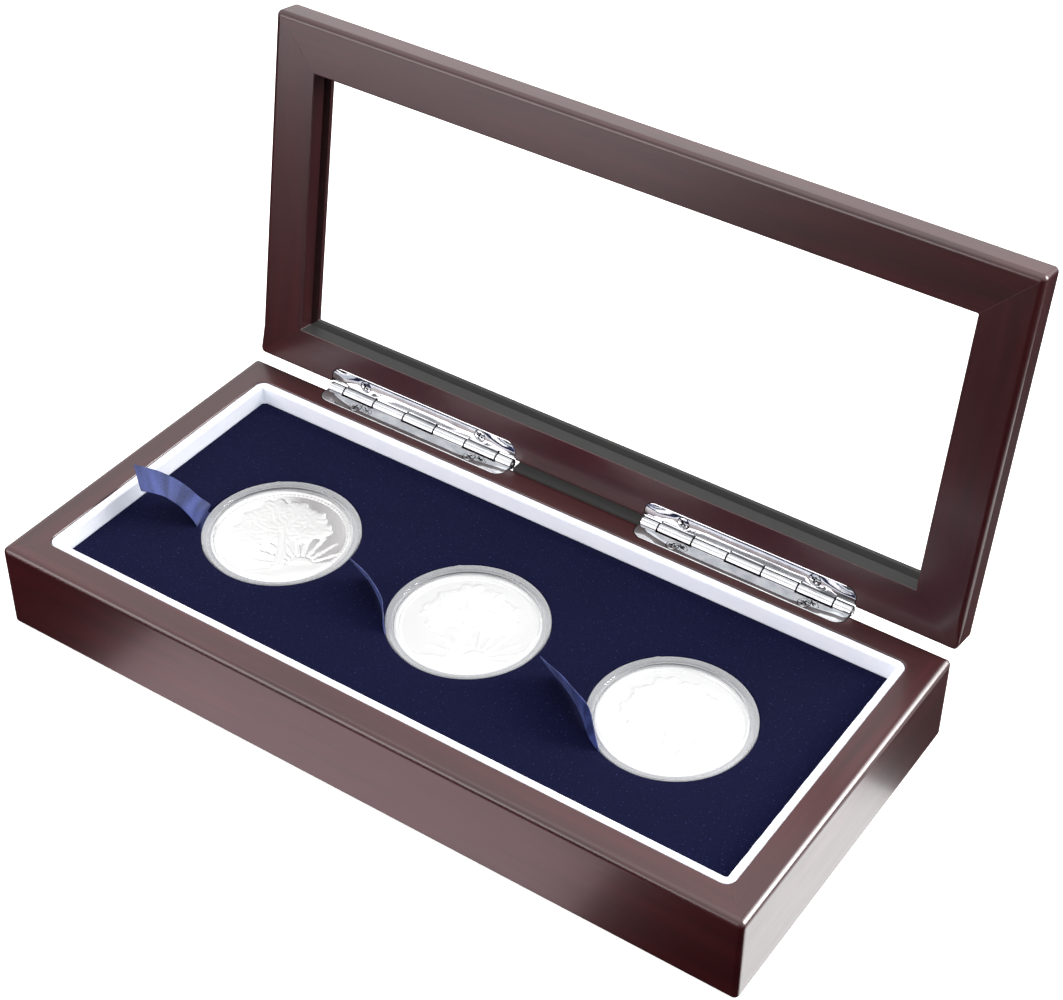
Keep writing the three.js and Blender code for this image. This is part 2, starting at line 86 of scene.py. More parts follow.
def shut_box(node):
    """A lid node's lowest and highest corner with the lid shut."""
    back = TURN_OPEN.inverted()
    places = [back @ (v.co / MM) for v in frame["nodes"][node].data.vertices]
    return Vector(map(min, zip(*places))), Vector(map(max, zip(*places)))


def around(naming):
    """x0, x1, y0, y1 round the four pieces that naming names."""
    left, right, front, back = (box_mm(naming.format(side)) for side in ("left", "right", "front", "back"))
    return left[0].x, right[1].x, front[0].y, back[1].y


CASE = around("base_{}_rail")
RIM_TOP = box_mm("base_front_rail")[1].z
RAIL_BOTTOM = box_mm("base_front_rail")[0].z
PANEL_TOP = box_mm("base_bottom_panel")[1].z
LINING = around("lining_{}")
LINING_TOP = box_mm("lining_front")[1].z
LINING_THICKNESS = box_mm("lining_left")[1].x - LINING[0]
VELVET_LOW, VELVET_HIGH = box_mm("velvet_board")
RECESS_FLOOR = box_mm("insert_base_board")[1].z
LID_LOW, LID_HIGH = shut_box("lid_front_rail")
GLASS_LOW, GLASS_HIGH = shut_box("lid_glass")
PLACES = ("left", "middle", "right")

OUTER_CORNER = 1.5
WELL_CORNER = 3.0
SHARP_CORNER = 0.35
RIM_WIDTH = 8.7
BACK_RIM_WIDTH = 8.3
REBATE_WIDTH = 4.5
RECESS_RADIUS = 23.3
WINDOW = {"side": 14.9, "front": 15.2, "back": 12.9}
GROOVE_DEPTH = 3.0
LIP = 0.9
GAP = 0.1

# ---- meshes


def finish_mesh(name, verts, faces, smooth_angle=35.0, local=None, marks=None):
    """A mesh in metres from millimetres. local and marks become attributes that the materials read."""
    mesh = bpy.data.meshes.new(name)
    mesh.from_pydata([tuple(Vector(v) * MM) for v in verts], [], faces)
    if local is not None:
        layer = mesh.attributes.new("local", "FLOAT_VECTOR", "POINT")
        layer.data.foreach_set("vector", [c for v in local for c in v])
    if marks is not None:
        layer = mesh.attributes.new("mark", "FLOAT", "POINT")
        layer.data.foreach_set("value", list(marks))
    bm = bmesh.new()
    bm.from_mesh(mesh)
    bmesh.ops.recalc_face_normals(bm, faces=bm.faces)
    bm.to_mesh(mesh)
    bm.free()
    mesh.polygons.foreach_set("use_smooth", [True] * len(mesh.polygons))
    mesh.set_sharp_from_angle(angle=math.radians(smooth_angle))
    return mesh


def new_object(name, mesh, *materials):
    obj = bpy.data.objects.new(name, mesh)
    bpy.context.scene.collection.objects.link(obj)
    for m in materials:
        mesh.materials.append(m)
    return obj


def place(obj, body, slot, *nodes, turned=False):
    """Hands a finished piece to its body. A lid piece's mesh is turned open first."""
    if turned:
        scale = Matrix.Scale(MM, 4)
        obj.data.transform(scale @ TURN_OPEN @ scale.inverted())
        obj.data.update()
    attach(obj, body)
    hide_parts(*nodes)


def piece(node, body, slot, mesh, *materials, turned=False):
    """A finished piece that stands in for a CAD node."""
    obj = new_object(f"look_{node}", mesh, *materials)
    place(obj, body, slot, node, turned=turned)
    return obj


def cut(obj, *cutters):
    """Takes the cutters away from obj, and removes them."""
    for cutter in cutters:
        m = obj.modifiers.new("cut", "BOOLEAN")
        m.operation = "DIFFERENCE"
        m.solver = "EXACT"
        m.object = cutter
    graph = bpy.context.evaluated_depsgraph_get()
    mesh = bpy.data.meshes.new_from_object(obj.evaluated_get(graph))
    obj.modifiers.clear()
    obj.data = mesh
    for cutter in cutters:
        bpy.data.objects.remove(cutter)
    mesh.polygons.foreach_set("use_smooth", [True] * len(mesh.polygons))
    mesh.set_sharp_from_angle(angle=math.radians(30))


def joined(parts):
    """Several (verts, faces) as one."""
    verts, faces = [], []
    for part_verts, part_faces in parts:
        start = len(verts)
        verts.extend(part_verts)
        faces.extend([tuple(start + i for i in f) for f in part_faces])
    return verts, faces


def loft(rows, closed_ends=False):
    """Faces between closed rows of equal length. closed_ends joins the last row to the first."""
    verts = [v for row in rows for v in row]
    n, count = len(rows[0]), len(rows)
    faces = []
    for i in range(count if closed_ends else count - 1):
        a, b = i * n, (i + 1) % count * n
        for k in range(n):
            j = (k + 1) % n
            faces.append((a + k, a + j, b + j, b + k))
    return verts, faces


def capped(rows):
    """A loft with both ends filled."""
    verts, faces = loft(rows)
    n = len(rows[0])
    faces.append(tuple(range(n)))
    faces.append(tuple(range(len(verts) - n, len(verts))))
    return verts, faces


def on_circle(centre, radius, angle):
    return centre[0] + radius * math.cos(angle), centre[1] + radius * math.sin(angle)


def arc(cx, cy, radius, start, end, steps):
    """Points on an arc, angles in degrees."""
    angles = [math.radians(start + (end - start) * i / steps) for i in range(steps + 1)]
    return [on_circle((cx, cy), radius, a) for a in angles]


def round_turn(count):
    """Angles evenly round a full turn."""
    return [2 * math.pi * i / count for i in range(count)]


def hinge_ring(x, radius, count):
    """Points round the hinge line at x."""
    return [(x, *on_circle((HINGE_AXIS.y, HINGE_AXIS.z), radius, a)) for a in round_turn(count)]


def offset_loop(points, inwards):
    """A closed counterclockwise outline moved in by a small distance."""
    moved = []
    n = len(points)
    for i in range(n):
        before, here, after = (Vector(points[(i + k) % n]) for k in (-1, 0, 1))
        first = (here - before).normalized()
        second = (after - here).normalized()
        normal = Vector((-first.y, first.x)) + Vector((-second.y, second.x))
        normal = normal * (2 / max(normal.length_squared, 0.5))
        moved.append(tuple(here + normal * inwards))
    return moved


def within(point, loop):
    x, y = point
    inside = False
    for i in range(len(loop)):
        (x0, y0), (x1, y1) = loop[i - 1], loop[i]
        if (y0 > y) != (y1 > y) and x < x0 + (y - y0) / (y1 - y0) * (x1 - x0):
            inside = not inside
    return inside


def board(outer, holes, extra=(), lift=None):
    """A closed board with holes. outer and each hole are rows of (x, y, z) from the top face's edge round to
    the underside's. extra are more points in the top face, which lift(x, y) raises."""
    loops = [outer] + list(holes)
    flat, edges = [], []
    for rows in loops:
        start = len(flat)
        flat.extend(Vector(v[:2]) for v in rows[0])
        n = len(rows[0])
        edges.extend((start + k, start + (k + 1) % n) for k in range(n))
    flat.extend(Vector(p) for p in extra)
    found, _, triangles, source, _, _ = delaunay_2d_cdt(flat, edges, [], 0, 1e-5)
    origin = [s[0] if s else None for s in source]
    outline = [v[:2] for v in outer[0]]
    inner = [[v[:2] for v in rows[0]] for rows in holes]
    kept = []
    for t in triangles:
        c = sum((found[i] for i in t), Vector((0, 0))) / len(t)
        if within(c, outline) and not any(within(c, h) for h in inner):
            kept.append(tuple(origin[i] for i in t))
    verts, faces = [], []
    ring_total = sum(len(rows[0]) for rows in loops)
    top, low = {}, {}
    count = 0
    for rows in loops:
        n = len(rows[0])
        start = len(verts)
        verts, faces = joined([(verts, faces), loft(rows)])
        for k in range(n):
            top[count + k] = start + k
            low[count + k] = start + (len(rows) - 1) * n + k
        count += n
    top_z, low_z = outer[0][0][2], outer[-1][0][2]
    for k, (x, y) in enumerate(extra):
        top[ring_total + k] = len(verts)
        verts.append((x, y, top_z + (lift(x, y) if lift else 0)))
        low[ring_total + k] = len(verts)
        verts.append((x, y, low_z))
    for t in kept:
        faces.append(tuple(top[i] for i in t))
        faces.append(tuple(low[i] for i in reversed(t)))
    return verts, faces


def turned_ring(profile, segments, centre, shape):
    """A closed profile of (radius, height) turned about the upright axis through centre.
    shape(angle, radius, height) may move a point."""
    rows = []
    for a in round_turn(segments):
        row = []
        for r, z in profile:
            if shape:
                r, z = shape(a, r, z)
            row.append((*on_circle(centre, r, a), z))
        rows.append(row)
    return loft(rows, closed_ends=True)


# ---- materials


class Nodes:
    """The nodes of a material or a world, made one by one."""

    def __init__(self, owner):
        owner.use_nodes = True
        self.tree = owner.node_tree

    def find(self, kind):
        return next(n for n in self.tree.nodes if n.type == kind)

    def add(self, kind, **values):
        n = self.tree.nodes.new("ShaderNode" + kind)
        for key, value in values.items():
            setattr(n, key, value)
        return n

    def join(self, source, target):
        """Feeds a socket from another one, or with a value or a colour."""
        if isinstance(source, bpy.types.NodeSocket):
            self.tree.links.new(source, target)
        else:
            target.default_value = (*source, 1) if isinstance(source, tuple) else source

    def math(self, operation, *sources):
        n = self.add("Math", operation=operation)
        for source, socket in zip(sources, n.inputs):
            self.join(source, socket)
        return n.outputs[0]

    def sum(self, a, b, share=1.0):
        """a and a share of b."""
        return self.math("MULTIPLY_ADD", b, share, a)

    def spread(self, source, low, high, to_low, to_high):
        n = self.add("MapRange")
        for key, value in (("From Min", low), ("From Max", high), ("To Min", to_low), ("To Max", to_high)):
            n.inputs[key].default_value = value
        self.join(source, n.inputs["Value"])
        return n.outputs[0]


class Paint(Nodes):
    """A material."""

    def __init__(self, name):
        self.material = bpy.data.materials.new(name)
        super().__init__(self.material)
        self.shader = self.find("BSDF_PRINCIPLED")

    def set(self, **values):
        for key, value in values.items():
            self.shader.inputs[key.replace("_", " ")].default_value = value
        return self

    def place(self, scale, local=False):
        """Positions in millimetres, stretched by scale: the piece's own, or the rail's with local."""
        if isinstance(scale, float):
            scale = (scale, scale, scale)
        scaled = self.add("VectorMath", operation="MULTIPLY")
        if local:
            where = self.add("Attribute", attribute_name="local").outputs["Vector"]
            scaled.inputs[1].default_value = scale
        else:
            where = self.add("TexCoord").outputs["Object"]
            scaled.inputs[1].default_value = [s / MM for s in scale]
        self.join(where, scaled.inputs[0])
        return scaled.outputs[0]

    def noise(self, scale, detail=4.0, roughness=0.5, distortion=0.0, local=False):
        n = self.add("TexNoise")
        n.inputs["Scale"].default_value = 1
        n.inputs["Detail"].default_value = detail
        n.inputs["Roughness"].default_value = roughness
        n.inputs["Distortion"].default_value = distortion
        self.join(self.place(scale, local), n.inputs["Vector"])
        return n.outputs[0]

    def ramp(self, source, *stops):
        n = self.add("ValToRGB")
        elements = n.color_ramp.elements
        while len(elements) < len(stops):
            elements.new(0.5)
        for element, (at, colour) in zip(elements, stops):
            element.position = at
            element.color = (*colour, 1)
        self.join(source, n.inputs[0])
        return n.outputs[0]

    def mix(self, fac, a, b):
        n = self.add("Mix", data_type="RGBA")
        for source, socket in ((fac, n.inputs[0]), (a, n.inputs[6]), (b, n.inputs[7])):
            self.join(source, socket)
        return n.outputs[2]

    def bump(self, height, distance):
        """Roughens the surface by distance, in millimetres."""
        n = self.add("Bump")
        n.inputs["Strength"].default_value = 1.0
        n.inputs["Distance"].default_value = distance * MM
        self.join(height, n.inputs["Height"])
        self.join(n.outputs[0], self.shader.inputs["Normal"])

    def to(self, source, name):
        self.join(source, self.shader.inputs[name])


def lacquered_wood():
    p = Paint("lacquered_wood").set(Coat_Weight=0.45, Coat_Roughness=0.17, Specular_IOR_Level=0.55)
    figure = p.noise((0.012, 0.16, 0.16), 5, 0.55, 0.6, local=True)
    fibre = p.noise((0.04, 1.3, 1.3), 3, 0.6, local=True)
    cloud = p.noise((0.013, 0.02, 0.03), 2, local=True)
    tone = p.sum(figure, fibre, 0.35)
    colour = p.ramp(
        tone, (0.45, (0.026, 0.0034, 0.0046)), (0.68, (0.046, 0.0058, 0.0078)), (0.9, (0.066, 0.0092, 0.0118))
    )
    shaded = p.mix(p.spread(cloud, 0.35, 0.7, 0, 0.5), colour, (0.034, 0.0043, 0.0060))
    p.to(shaded, "Base Color")
    p.to(p.spread(p.noise((0.05, 0.3, 0.3), 3, local=True), 0.3, 0.7, 0.31, 0.35), "Roughness")
    peel = p.noise(0.55, 2, local=True)
    p.bump(p.sum(peel, fibre, 0.15), 0.006)
    return p.material


def dark_grey_and_painted_shade():
    """The window's sill and the ledge behind the base: dull dark grey, which on the ledge is painted shade for the
    gap between the hinges. The faint glow is a painted reflection: it stands in for what the lacquer mirrors
    there."""
    p = Paint("dark_grey_and_painted_shade").set(Roughness=0.5, Specular_IOR_Level=0.15, Emission_Strength=0.033)
    p.set(Emission_Color=(1, 0.98, 0.97, 1))
    cloud = p.noise((0.2, 1.0, 1.0), 3)
    p.to(p.ramp(cloud, (0.3, (0.009, 0.008, 0.008)), (0.7, (0.013, 0.012, 0.012))), "Base Color")
    return p.material


def bare_board():
    p = Paint("fibreboard").set(Roughness=0.9)
    fleck = p.noise((0.8, 0.8, 2.0), 6, 0.7)
    p.to(p.ramp(fleck, (0.3, (0.20, 0.13, 0.075)), (0.7, (0.36, 0.25, 0.16))), "Base Color")
    p.bump(p.noise(2.0, 4), 0.08)
    return p.material


def felt():
    p = Paint("underside_felt").set(Roughness=1.0, Sheen_Weight=0.3, Sheen_Roughness=0.6)
    fluff = p.noise(1.6, 6, 0.8)
    p.to(p.ramp(fluff, (0.3, (0.004, 0.004, 0.006)), (0.75, (0.018, 0.018, 0.022))), "Base Color")
    p.bump(p.noise(3.0, 5, 0.8), 0.2)
    return p.material


def white_flock():
    # Painted light: a faint bluish glow brightens the lining, with the tint of light bounced off the velvet.
    p = Paint("white_lining").set(Roughness=1.0, Sheen_Weight=0.25, Sheen_Roughness=0.5, Emission_Strength=0.2)
    p.set(Emission_Color=(0.80, 0.88, 1, 1))
    soft = p.noise((0.12, 0.12, 0.2), 3)
    grit = p.noise(2.2, 4, 0.7)
    tint = p.ramp(soft, (0.3, (0.84, 0.87, 0.98)), (0.7, (0.93, 0.94, 0.99)))
    p.to(p.mix(p.spread(grit, 0.35, 0.65, 0.0, 0.35), tint, (0.93, 0.93, 0.98)), "Base Color")
    p.bump(grit, 0.12)
    return p.material


def navy_velvet():
    p = Paint("navy_velvet").set(Roughness=1.0, Sheen_Weight=0.17, Sheen_Roughness=0.35, Specular_IOR_Level=0.1)
    p.set(Sheen_Tint=(0.20, 0.22, 0.62, 1))
    nap = p.noise((0.035, 0.05, 0.05), 3)
    pile = p.noise(2.6, 5, 0.75)
    speck = p.noise(1.7, 0)
    colour = p.ramp(pile, (0.32, (0.0012, 0.0016, 0.014)), (0.68, (0.0046, 0.0055, 0.034)))
    brushed = p.mix(p.spread(nap, 0.35, 0.65, 0.0, 0.30), colour, (0.0020, 0.0024, 0.018))
    p.to(p.mix(p.spread(speck, 0.74, 0.82, 0.0, 0.5), brushed, (0.035, 0.040, 0.13)), "Base Color")
    p.bump(pile, 0.16)
    return p.material


def satin():
    p = Paint("satin_ribbon").set(Sheen_Weight=0.25, Sheen_Roughness=0.3, Specular_IOR_Level=0.9, Anisotropic=0.5)
    p.set(Sheen_Tint=(0.38, 0.45, 0.98, 1), Specular_Tint=(0.62, 0.68, 1.0, 1))
    thread = p.noise((0.25, 9.0, 9.0), 2, local=True)
    weave = p.noise((5.0, 1.2, 1.2), 2, local=True)
    # Painted highlight: lighter bands along the ribbon stand in for the satin's sheen.
    painted_sheen_band = p.spread(p.noise((0.22, 0.05, 0.05), 1, local=True), 0.40, 0.62, 0.0, 1.0)
    plain = p.ramp(thread, (0.3, (0.012, 0.018, 0.075)), (0.7, (0.020, 0.030, 0.110)))
    p.to(p.mix(painted_sheen_band, plain, (0.055, 0.075, 0.25)), "Base Color")
    p.to(p.spread(weave, 0.3, 0.7, 0.26, 0.34), "Roughness")
    p.bump(p.sum(thread, weave, 0.5), 0.015)
    return p.material


def chrome():
    p = Paint("hinge_chrome").set(Metallic=1.0)
    smear = p.noise(0.25, 3)
    bright = p.ramp(smear, (0.3, (0.55, 0.56, 0.59)), (0.7, (0.72, 0.73, 0.75)))
    # Painted shade: ambient occlusion darkens the joints, screw slots and the seams beside the barrel, standing in
    # for the dark the metal mirrors there.
    painted_crevice_shade = p.add("AmbientOcclusion")
    painted_crevice_shade.samples = 12
    painted_crevice_shade.inputs["Distance"].default_value = 0.9 * MM
    p.to(p.mix(p.spread(painted_crevice_shade.outputs["AO"], 0.35, 0.92, 1.0, 0.0), bright, (0.025, 0.025, 0.030)), "Base Color")
    p.to(p.spread(p.noise((0.2, 3.0, 3.0), 4, 0.7), 0.3, 0.75, 0.03, 0.09), "Roughness")
    p.bump(p.noise((0.12, 0.22, 0.22), 2), 0.010)
    return p.material


def proof_silver(name, field, glow, polished, frosted):
    """Mirror field of the given roughness, with frost where the relief stands up. glow is a painted glow
    that brightens the coin, standing in for the bright light it mirrors.
    """
    p = Paint(name).set(Metallic=1.0, Emission_Strength=glow)
    p.set(Emission_Color=(0.98, 0.99, 1, 1))
    frost = p.add("Attribute", attribute_name="mark").outputs["Fac"]
    p.to(p.mix(frost, polished, frosted), "Base Color")
    grain = p.spread(p.noise(5.0, 3), 0.3, 0.7, 0.24, 0.30)
    p.to(p.sum(field, frost, grain), "Roughness")
    return p.material


def see_through(name, body, colour, roughness):
    """Plastic or glass seen through. body is how much of its own colour covers what is behind it, square on."""
    p = Paint(name).set(Roughness=roughness, Specular_IOR_Level=0.6)
    cloud = p.noise(0.3, 2)
    p.to(p.ramp(cloud, (0.3, tuple(0.94 * c for c in colour)), (0.7, colour)), "Base Color")
    clear = p.add("BsdfTransparent")
    facing = p.add("LayerWeight")
    facing.inputs["Blend"].default_value = 0.5
    share = p.spread(p.math("POWER", facing.outputs["Facing"], 4.0), 0.0, 1.0, body, 0.85)
    both = p.add("MixShader")
    for source, socket in zip((share, clear.outputs[0], p.shader.outputs[0]), both.inputs):
        p.join(source, socket)
    p.join(both.outputs[0], p.find("OUTPUT_MATERIAL").inputs["Surface"])
    return p.material


LACQUER = lacquered_wood()
DULL = dark_grey_and_painted_shade()
BOARD = bare_board()
FELT = felt()
FLOCK = white_flock()
VELVET = navy_velvet()
SATIN = satin()
CHROME = chrome()
SILVER = {"left": proof_silver("proof_silver_left", 0.20, 0.0, (0.88, 0.88, 0.88), (0.79, 0.785, 0.78))}
# The middle and right coins get a rougher, darker copy of the silver with a painted glow, standing in for the
# bright light they mirror.
for name in ("middle", "right"):
    SILVER[name] = proof_silver(f"proof_silver_{name}", 0.38, 0.06, (0.80, 0.80, 0.80), (0.71, 0.71, 0.71))
CLEAR = see_through("clear_plastic", 0.03, (0.80, 0.81, 0.83), 0.04)
CAPSULE_EDGE = see_through("clear_plastic_edge", 0.30, (0.80, 0.81, 0.83), 0.07)
PANE = see_through("window_glass", 0.004, (0.8, 0.82, 0.82), 0.02)

# ---- mitred frames

SIDES = {
    "front": (Vector((1, 0)), Vector((0, -1))),
    "right": (Vector((0, 1)), Vector((1, 0))),
    "back": (Vector((-1, 0)), Vector((0, 1))),
    "left": (Vector((0, -1)), Vector((-1, 0))),
}


def outline_point(side, run, angle, rect, radius):
    """A point on a rounded rectangle. run goes from -1 to 1 along the side, and angle turns into its corners."""
    along, out = SIDES[side]
    x0, x1, y0, y1 = rect
    centre = Vector(((x0 + x1) / 2, (y0 + y1) / 2))
    half = Vector(((x1 - x0) / 2, (y1 - y0) / 2))
    reach = abs(along.x) * half.x + abs(along.y) * half.y
    depth = abs(out.x) * half.x + abs(out.y) * half.y
    forward = run * (reach - radius) + radius * math.sin(angle)
    return centre + along * forward + out * (depth - radius + radius * math.cos(angle))


def rail_columns(steps):
    corner = [math.radians(a) for a in (45, 41, 30, 15)]
    columns = [(-1, -a) for a in corner] + [(-1, 0)]
    columns += [((2 * i / steps - 1) * 0.997, 0) for i in range(steps + 1)]
    return columns + [(1, 0)] + [(1, a) for a in reversed(corner)]


def frame_rail(side, rect, section_at, radius_at, insets, steps, seam, wobble=0.0):
    """One mitred rail. section_at(side, run) lists (inset, height) round the rail, radius_at(inset) is the
    corner there, and insets scales the inset at the front and the back. seam is how far the ends stand back
    at the mitre, and wobble makes the surface uneven."""
    columns = rail_columns(steps)
    along, _ = SIDES[side]
    number = list(SIDES).index(side)
    rows, local = [], []
    for i, (run, angle) in enumerate(columns):
        section = section_at(side, run)
        depths, heights = zip(*section)
        mid = (sum(depths) / len(depths), (min(heights) + max(heights)) / 2)
        end = i in (0, len(columns) - 1)
        row = []
        for d, z in section:
            if end:
                d += math.copysign(seam, mid[0] - d)
                z += math.copysign(seam, mid[1] - z)
            x0, x1, y0, y1 = rect
            inner = (x0 + d, x1 - d, y0 + d * insets[0], y1 - d * insets[1])
            p = outline_point(side, run, angle, inner, radius_at(d))
            if end:
                p -= along * math.copysign(seam, run)
            if wobble:
                seed = Vector((p.x, p.y, z)) * 0.45
                p += Vector((noise.noise(seed), noise.noise(seed + Vector((9, 0, 0))))) * wobble
            row.append((p.x, p.y, z))
            local.append((p.dot(along) + 300 * number, d + 40 * number, z))
        rows.append(row)
    verts, faces = capped(rows)
    return verts, faces, local


def edge_arc(inset, height, radius, start, end, steps=5):
    """A rounded edge in a section. A point close beside each end keeps the flats next to it flat."""
    points = arc(inset, height, radius, start, end, steps)
    turn = math.copysign(0.12, end - start)
    held = []
    for (d, z), degrees, way in ((points[0], start, -turn), (points[-1], end, turn)):
        a = math.radians(degrees)
        held.append((d - way * math.sin(a), z + way * math.cos(a)))
    return held[:1] + points + held[1:]


# Base rails: rounded outside edge at the rim, crisp inside edge, and a rebate for the bottom panel.
BASE_ROUND = 1.9


def base_section(side, run):
    r, small = BASE_ROUND, 0.3
    return (
        [(0.6, RAIL_BOTTOM), (0.5, RAIL_BOTTOM), (0.15, RAIL_BOTTOM + 0.12), (0, RAIL_BOTTOM + 0.5)]
        + [(0, RAIL_BOTTOM + 0.62)]
        + edge_arc(r, RIM_TOP - r, r, 180, 90, 7)
        + edge_arc(RIM_WIDTH - small, RIM_TOP - small, small, 90, 0, 3)
        + [(RIM_WIDTH, PANEL_TOP + GAP), (RIM_WIDTH - REBATE_WIDTH, PANEL_TOP + GAP)]
        + [(RIM_WIDTH - REBATE_WIDTH, RAIL_BOTTOM)]
    )


def lid_radius(d):
    return max(OUTER_CORNER - d, SHARP_CORNER)


def base_radius(d):
    return WELL_CORNER if d > RIM_WIDTH - 1 else lid_radius(d)


# Lid rails, shut: the inner face is underneath. The edge along the hinges is crisp.
LID_EDGE = 1.7
HINGE_EDGE = 0.4
WINDOW_EDGE = 0.3


def lid_edge_at(side, run):
    if side == "back":
        return HINGE_EDGE
    if side == "front":
        return LID_EDGE
    near_hinge = (run if side == "right" else -run) - 0.86
    share = min(max(near_hinge / 0.14, 0), 1)
    return LID_EDGE + (HINGE_EDGE - LID_EDGE) * share * share * (3 - 2 * share)


def lid_section(side, run):
    z0, z1 = LID_LOW.z, LID_HIGH.z
    edge, w, top = lid_edge_at(side, run), WINDOW["side"], 1.2
    return (
        edge_arc(edge, z0 + edge, edge, 180, 270, 7)
        + edge_arc(w - WINDOW_EDGE, z0 + WINDOW_EDGE, WINDOW_EDGE, -90, 0, 5)
        + [(w, GLASS_LOW.z - GAP), (w - GROOVE_DEPTH, GLASS_LOW.z - GAP), (w - GROOVE_DEPTH, GLASS_HIGH.z + GAP)]
        + [(w + LIP, GLASS_HIGH.z + GAP)]
        + edge_arc(w + LIP - 0.7, z1 - 0.7, 0.7, 0, 90, 4)
        + edge_arc(top, z1 - top, top, 90, 180, 6)
    )


# Lining strips: flock on card, soft along the top.
def lining_section(side, run):
    t = LINING_THICKNESS
    low = PANEL_TOP + GAP
    inner = [(t, LINING_TOP - 0.8 - k * (LINING_TOP - 0.8 - VELVET_HIGH.z) / 3) for k in range(1, 4)]
    return (
        [(0, low), (0, LINING_TOP - 0.5)]
        + edge_arc(0.5, LINING_TOP - 0.5, 0.5, 180, 90, 3)
        + edge_arc(t - 0.7, LINING_TOP - 0.7, 0.7, 90, 0, 4)
        + inner
        + [(t, low)]
    )


def lining_radius(d):
    return max(WELL_CORNER - d, 0.5)


# ---- hinges

LEAF_THICKNESS = 0.9
LEAF_CORNER = 3.4
LEAF_BEVEL = 0.22
LEAF_BACK_CLEAR = 2.1
KNUCKLE_RADIUS = 1.6
KNUCKLE_COUNT = 7
END_KNUCKLE = 5.7
KNUCKLE_GAP = 0.15
PIN_RADIUS = 0.75
RELIEF_RADIUS = 1.95
SCREW_HEAD_RADIUS = 1.7
MORTISE_MARGIN = 0.15


def hinge_facts(side):
    low, high = box_mm(f"hinge_{side}_base_leaf")
    screws = [middle(f"hinge_{side}_base_screw_{i}") for i in (1, 2)]
    return {"x0": low.x - KNUCKLE_GAP, "x1": high.x + KNUCKLE_GAP, "front": low.y, "screws": screws}


def knuckles(hinge):
    inner = (hinge["x1"] - hinge["x0"] - 2 * END_KNUCKLE) / (KNUCKLE_COUNT - 2)
    x = hinge["x0"]
    for i in range(KNUCKLE_COUNT):
        length = END_KNUCKLE if i in (0, KNUCKLE_COUNT - 1) else inner
        yield x + KNUCKLE_GAP, x + length - KNUCKLE_GAP, i % 2 == 1
        x += length


def leaf_outline(hinge, on_lid, margin=0.0):
    """The leaf from above, counterclockwise, with a notch for each of the other leaf's knuckles."""
    x0, x1, front = hinge["x0"] - margin, hinge["x1"] + margin, hinge["front"] - margin
    r, back = LEAF_CORNER, HINGE_AXIS.y
    points = arc(x0 + r, front + r, r, 180, 270, 8) + arc(x1 - r, front + r, r, 270, 360, 8)
    if margin:
        return points + [(x1, back), (x0, back)]
    clear = back - LEAF_BACK_CLEAR
    for start, end, lids in reversed(list(knuckles(hinge))):
        if lids == on_lid:
            points += [(end, back), (start, back)]
        else:
            points += [(end + 2 * KNUCKLE_GAP, clear), (start - 2 * KNUCKLE_GAP, clear)]
    return [p for i, p in enumerate(points) if (Vector(p) - Vector(points[i - 1])).length > 1e-4]


def barrel(x0, x1, radius, bore, segments=30, chamfer=0.16):
    """A knuckle: a tube along the hinge line."""
    profile = [
        (x0 + chamfer, radius), (x0 + 0.04, radius - chamfer * 0.6), (x0, radius - chamfer * 1.4), (x0, bore),
        (x1, bore), (x1, radius - chamfer * 1.4), (x1 - 0.04, radius - chamfer * 0.6), (x1 - chamfer, radius),
    ]
    rings = [hinge_ring(x, r, segments) for x, r in profile]
    return loft([list(row) for row in zip(*rings)], closed_ends=True)


def flip_to_lid(verts):
    """Mirrors base-side metalwork to the lid's side of the parting line."""
    return [(x, y, RIM_TOP + LID_LOW.z - z) for x, y, z in verts]


def leaf_parts(hinge, on_lid):
    # The notched back edge stays inside the leaf's own ends.
    outline = [(min(max(x, hinge["x0"]), hinge["x1"]), y) for x, y in leaf_outline(hinge, on_lid)]
    top, low, b = RIM_TOP + 0.06, RIM_TOP - LEAF_THICKNESS, LEAF_BEVEL
    rows = []
    for inwards, z in ((b, top), (b * 0.35, top - b * 0.3), (0, top - b), (0, low)):
        rows.append([(x, y, z) for x, y in (offset_loop(outline, inwards) if inwards else outline)])
    holes = []
    for s in hinge["screws"]:
        ring = []
        for r, z in ((SCREW_HEAD_RADIUS + 0.28, top), (SCREW_HEAD_RADIUS + 0.12, top - 0.2), (1.0, low)):
            ring.append([(x, y, z) for x, y in reversed(arc(s.x, s.y, r, 0, 345, 23))])
        holes.append(ring)
    verts, faces = board(rows, holes)
    parts = [(flip_to_lid(verts) if on_lid else verts, faces)]
    for start, end, lids in knuckles(hinge):
        if lids == on_lid:
            parts.append(barrel(start, end, KNUCKLE_RADIUS, PIN_RADIUS + 0.1))
    return joined(parts)


def pin(hinge):
    x0, x1 = hinge["x0"], hinge["x1"]
    profile = [(x0 - 0.35, 0.25), (x0 - 0.2, 0.8), (x0 + 0.05, 1.05), (x0 + 0.12, 1.0), (x0 + 0.13, PIN_RADIUS)]
    profile += [(x1 + x0 - x, r) for x, r in reversed(profile)]
    return capped([hinge_ring(x, r, 20) for x, r in profile])


def hinge_cutters(hinge, on_lid):
    """The mortise and the relief round the barrel, as solids to take from a back rail."""
    deep = LEAF_THICKNESS + GAP
    outline = leaf_outline(hinge, on_lid, MORTISE_MARGIN)
    rows = [[(x, y, z) for x, y in outline] for z in (RIM_TOP - deep, RIM_TOP + 2)]
    verts, faces = capped(rows)
    if on_lid:
        verts = flip_to_lid(verts)
    plate = new_object("cutter", finish_mesh("cutter", verts, faces))
    ends = (hinge["x0"] - 2 * MORTISE_MARGIN, hinge["x1"] + 2 * MORTISE_MARGIN)
    verts, faces = capped([hinge_ring(x, RELIEF_RADIUS, 40) for x in ends])
    return plate, new_object("cutter", finish_mesh("cutter", verts, faces))


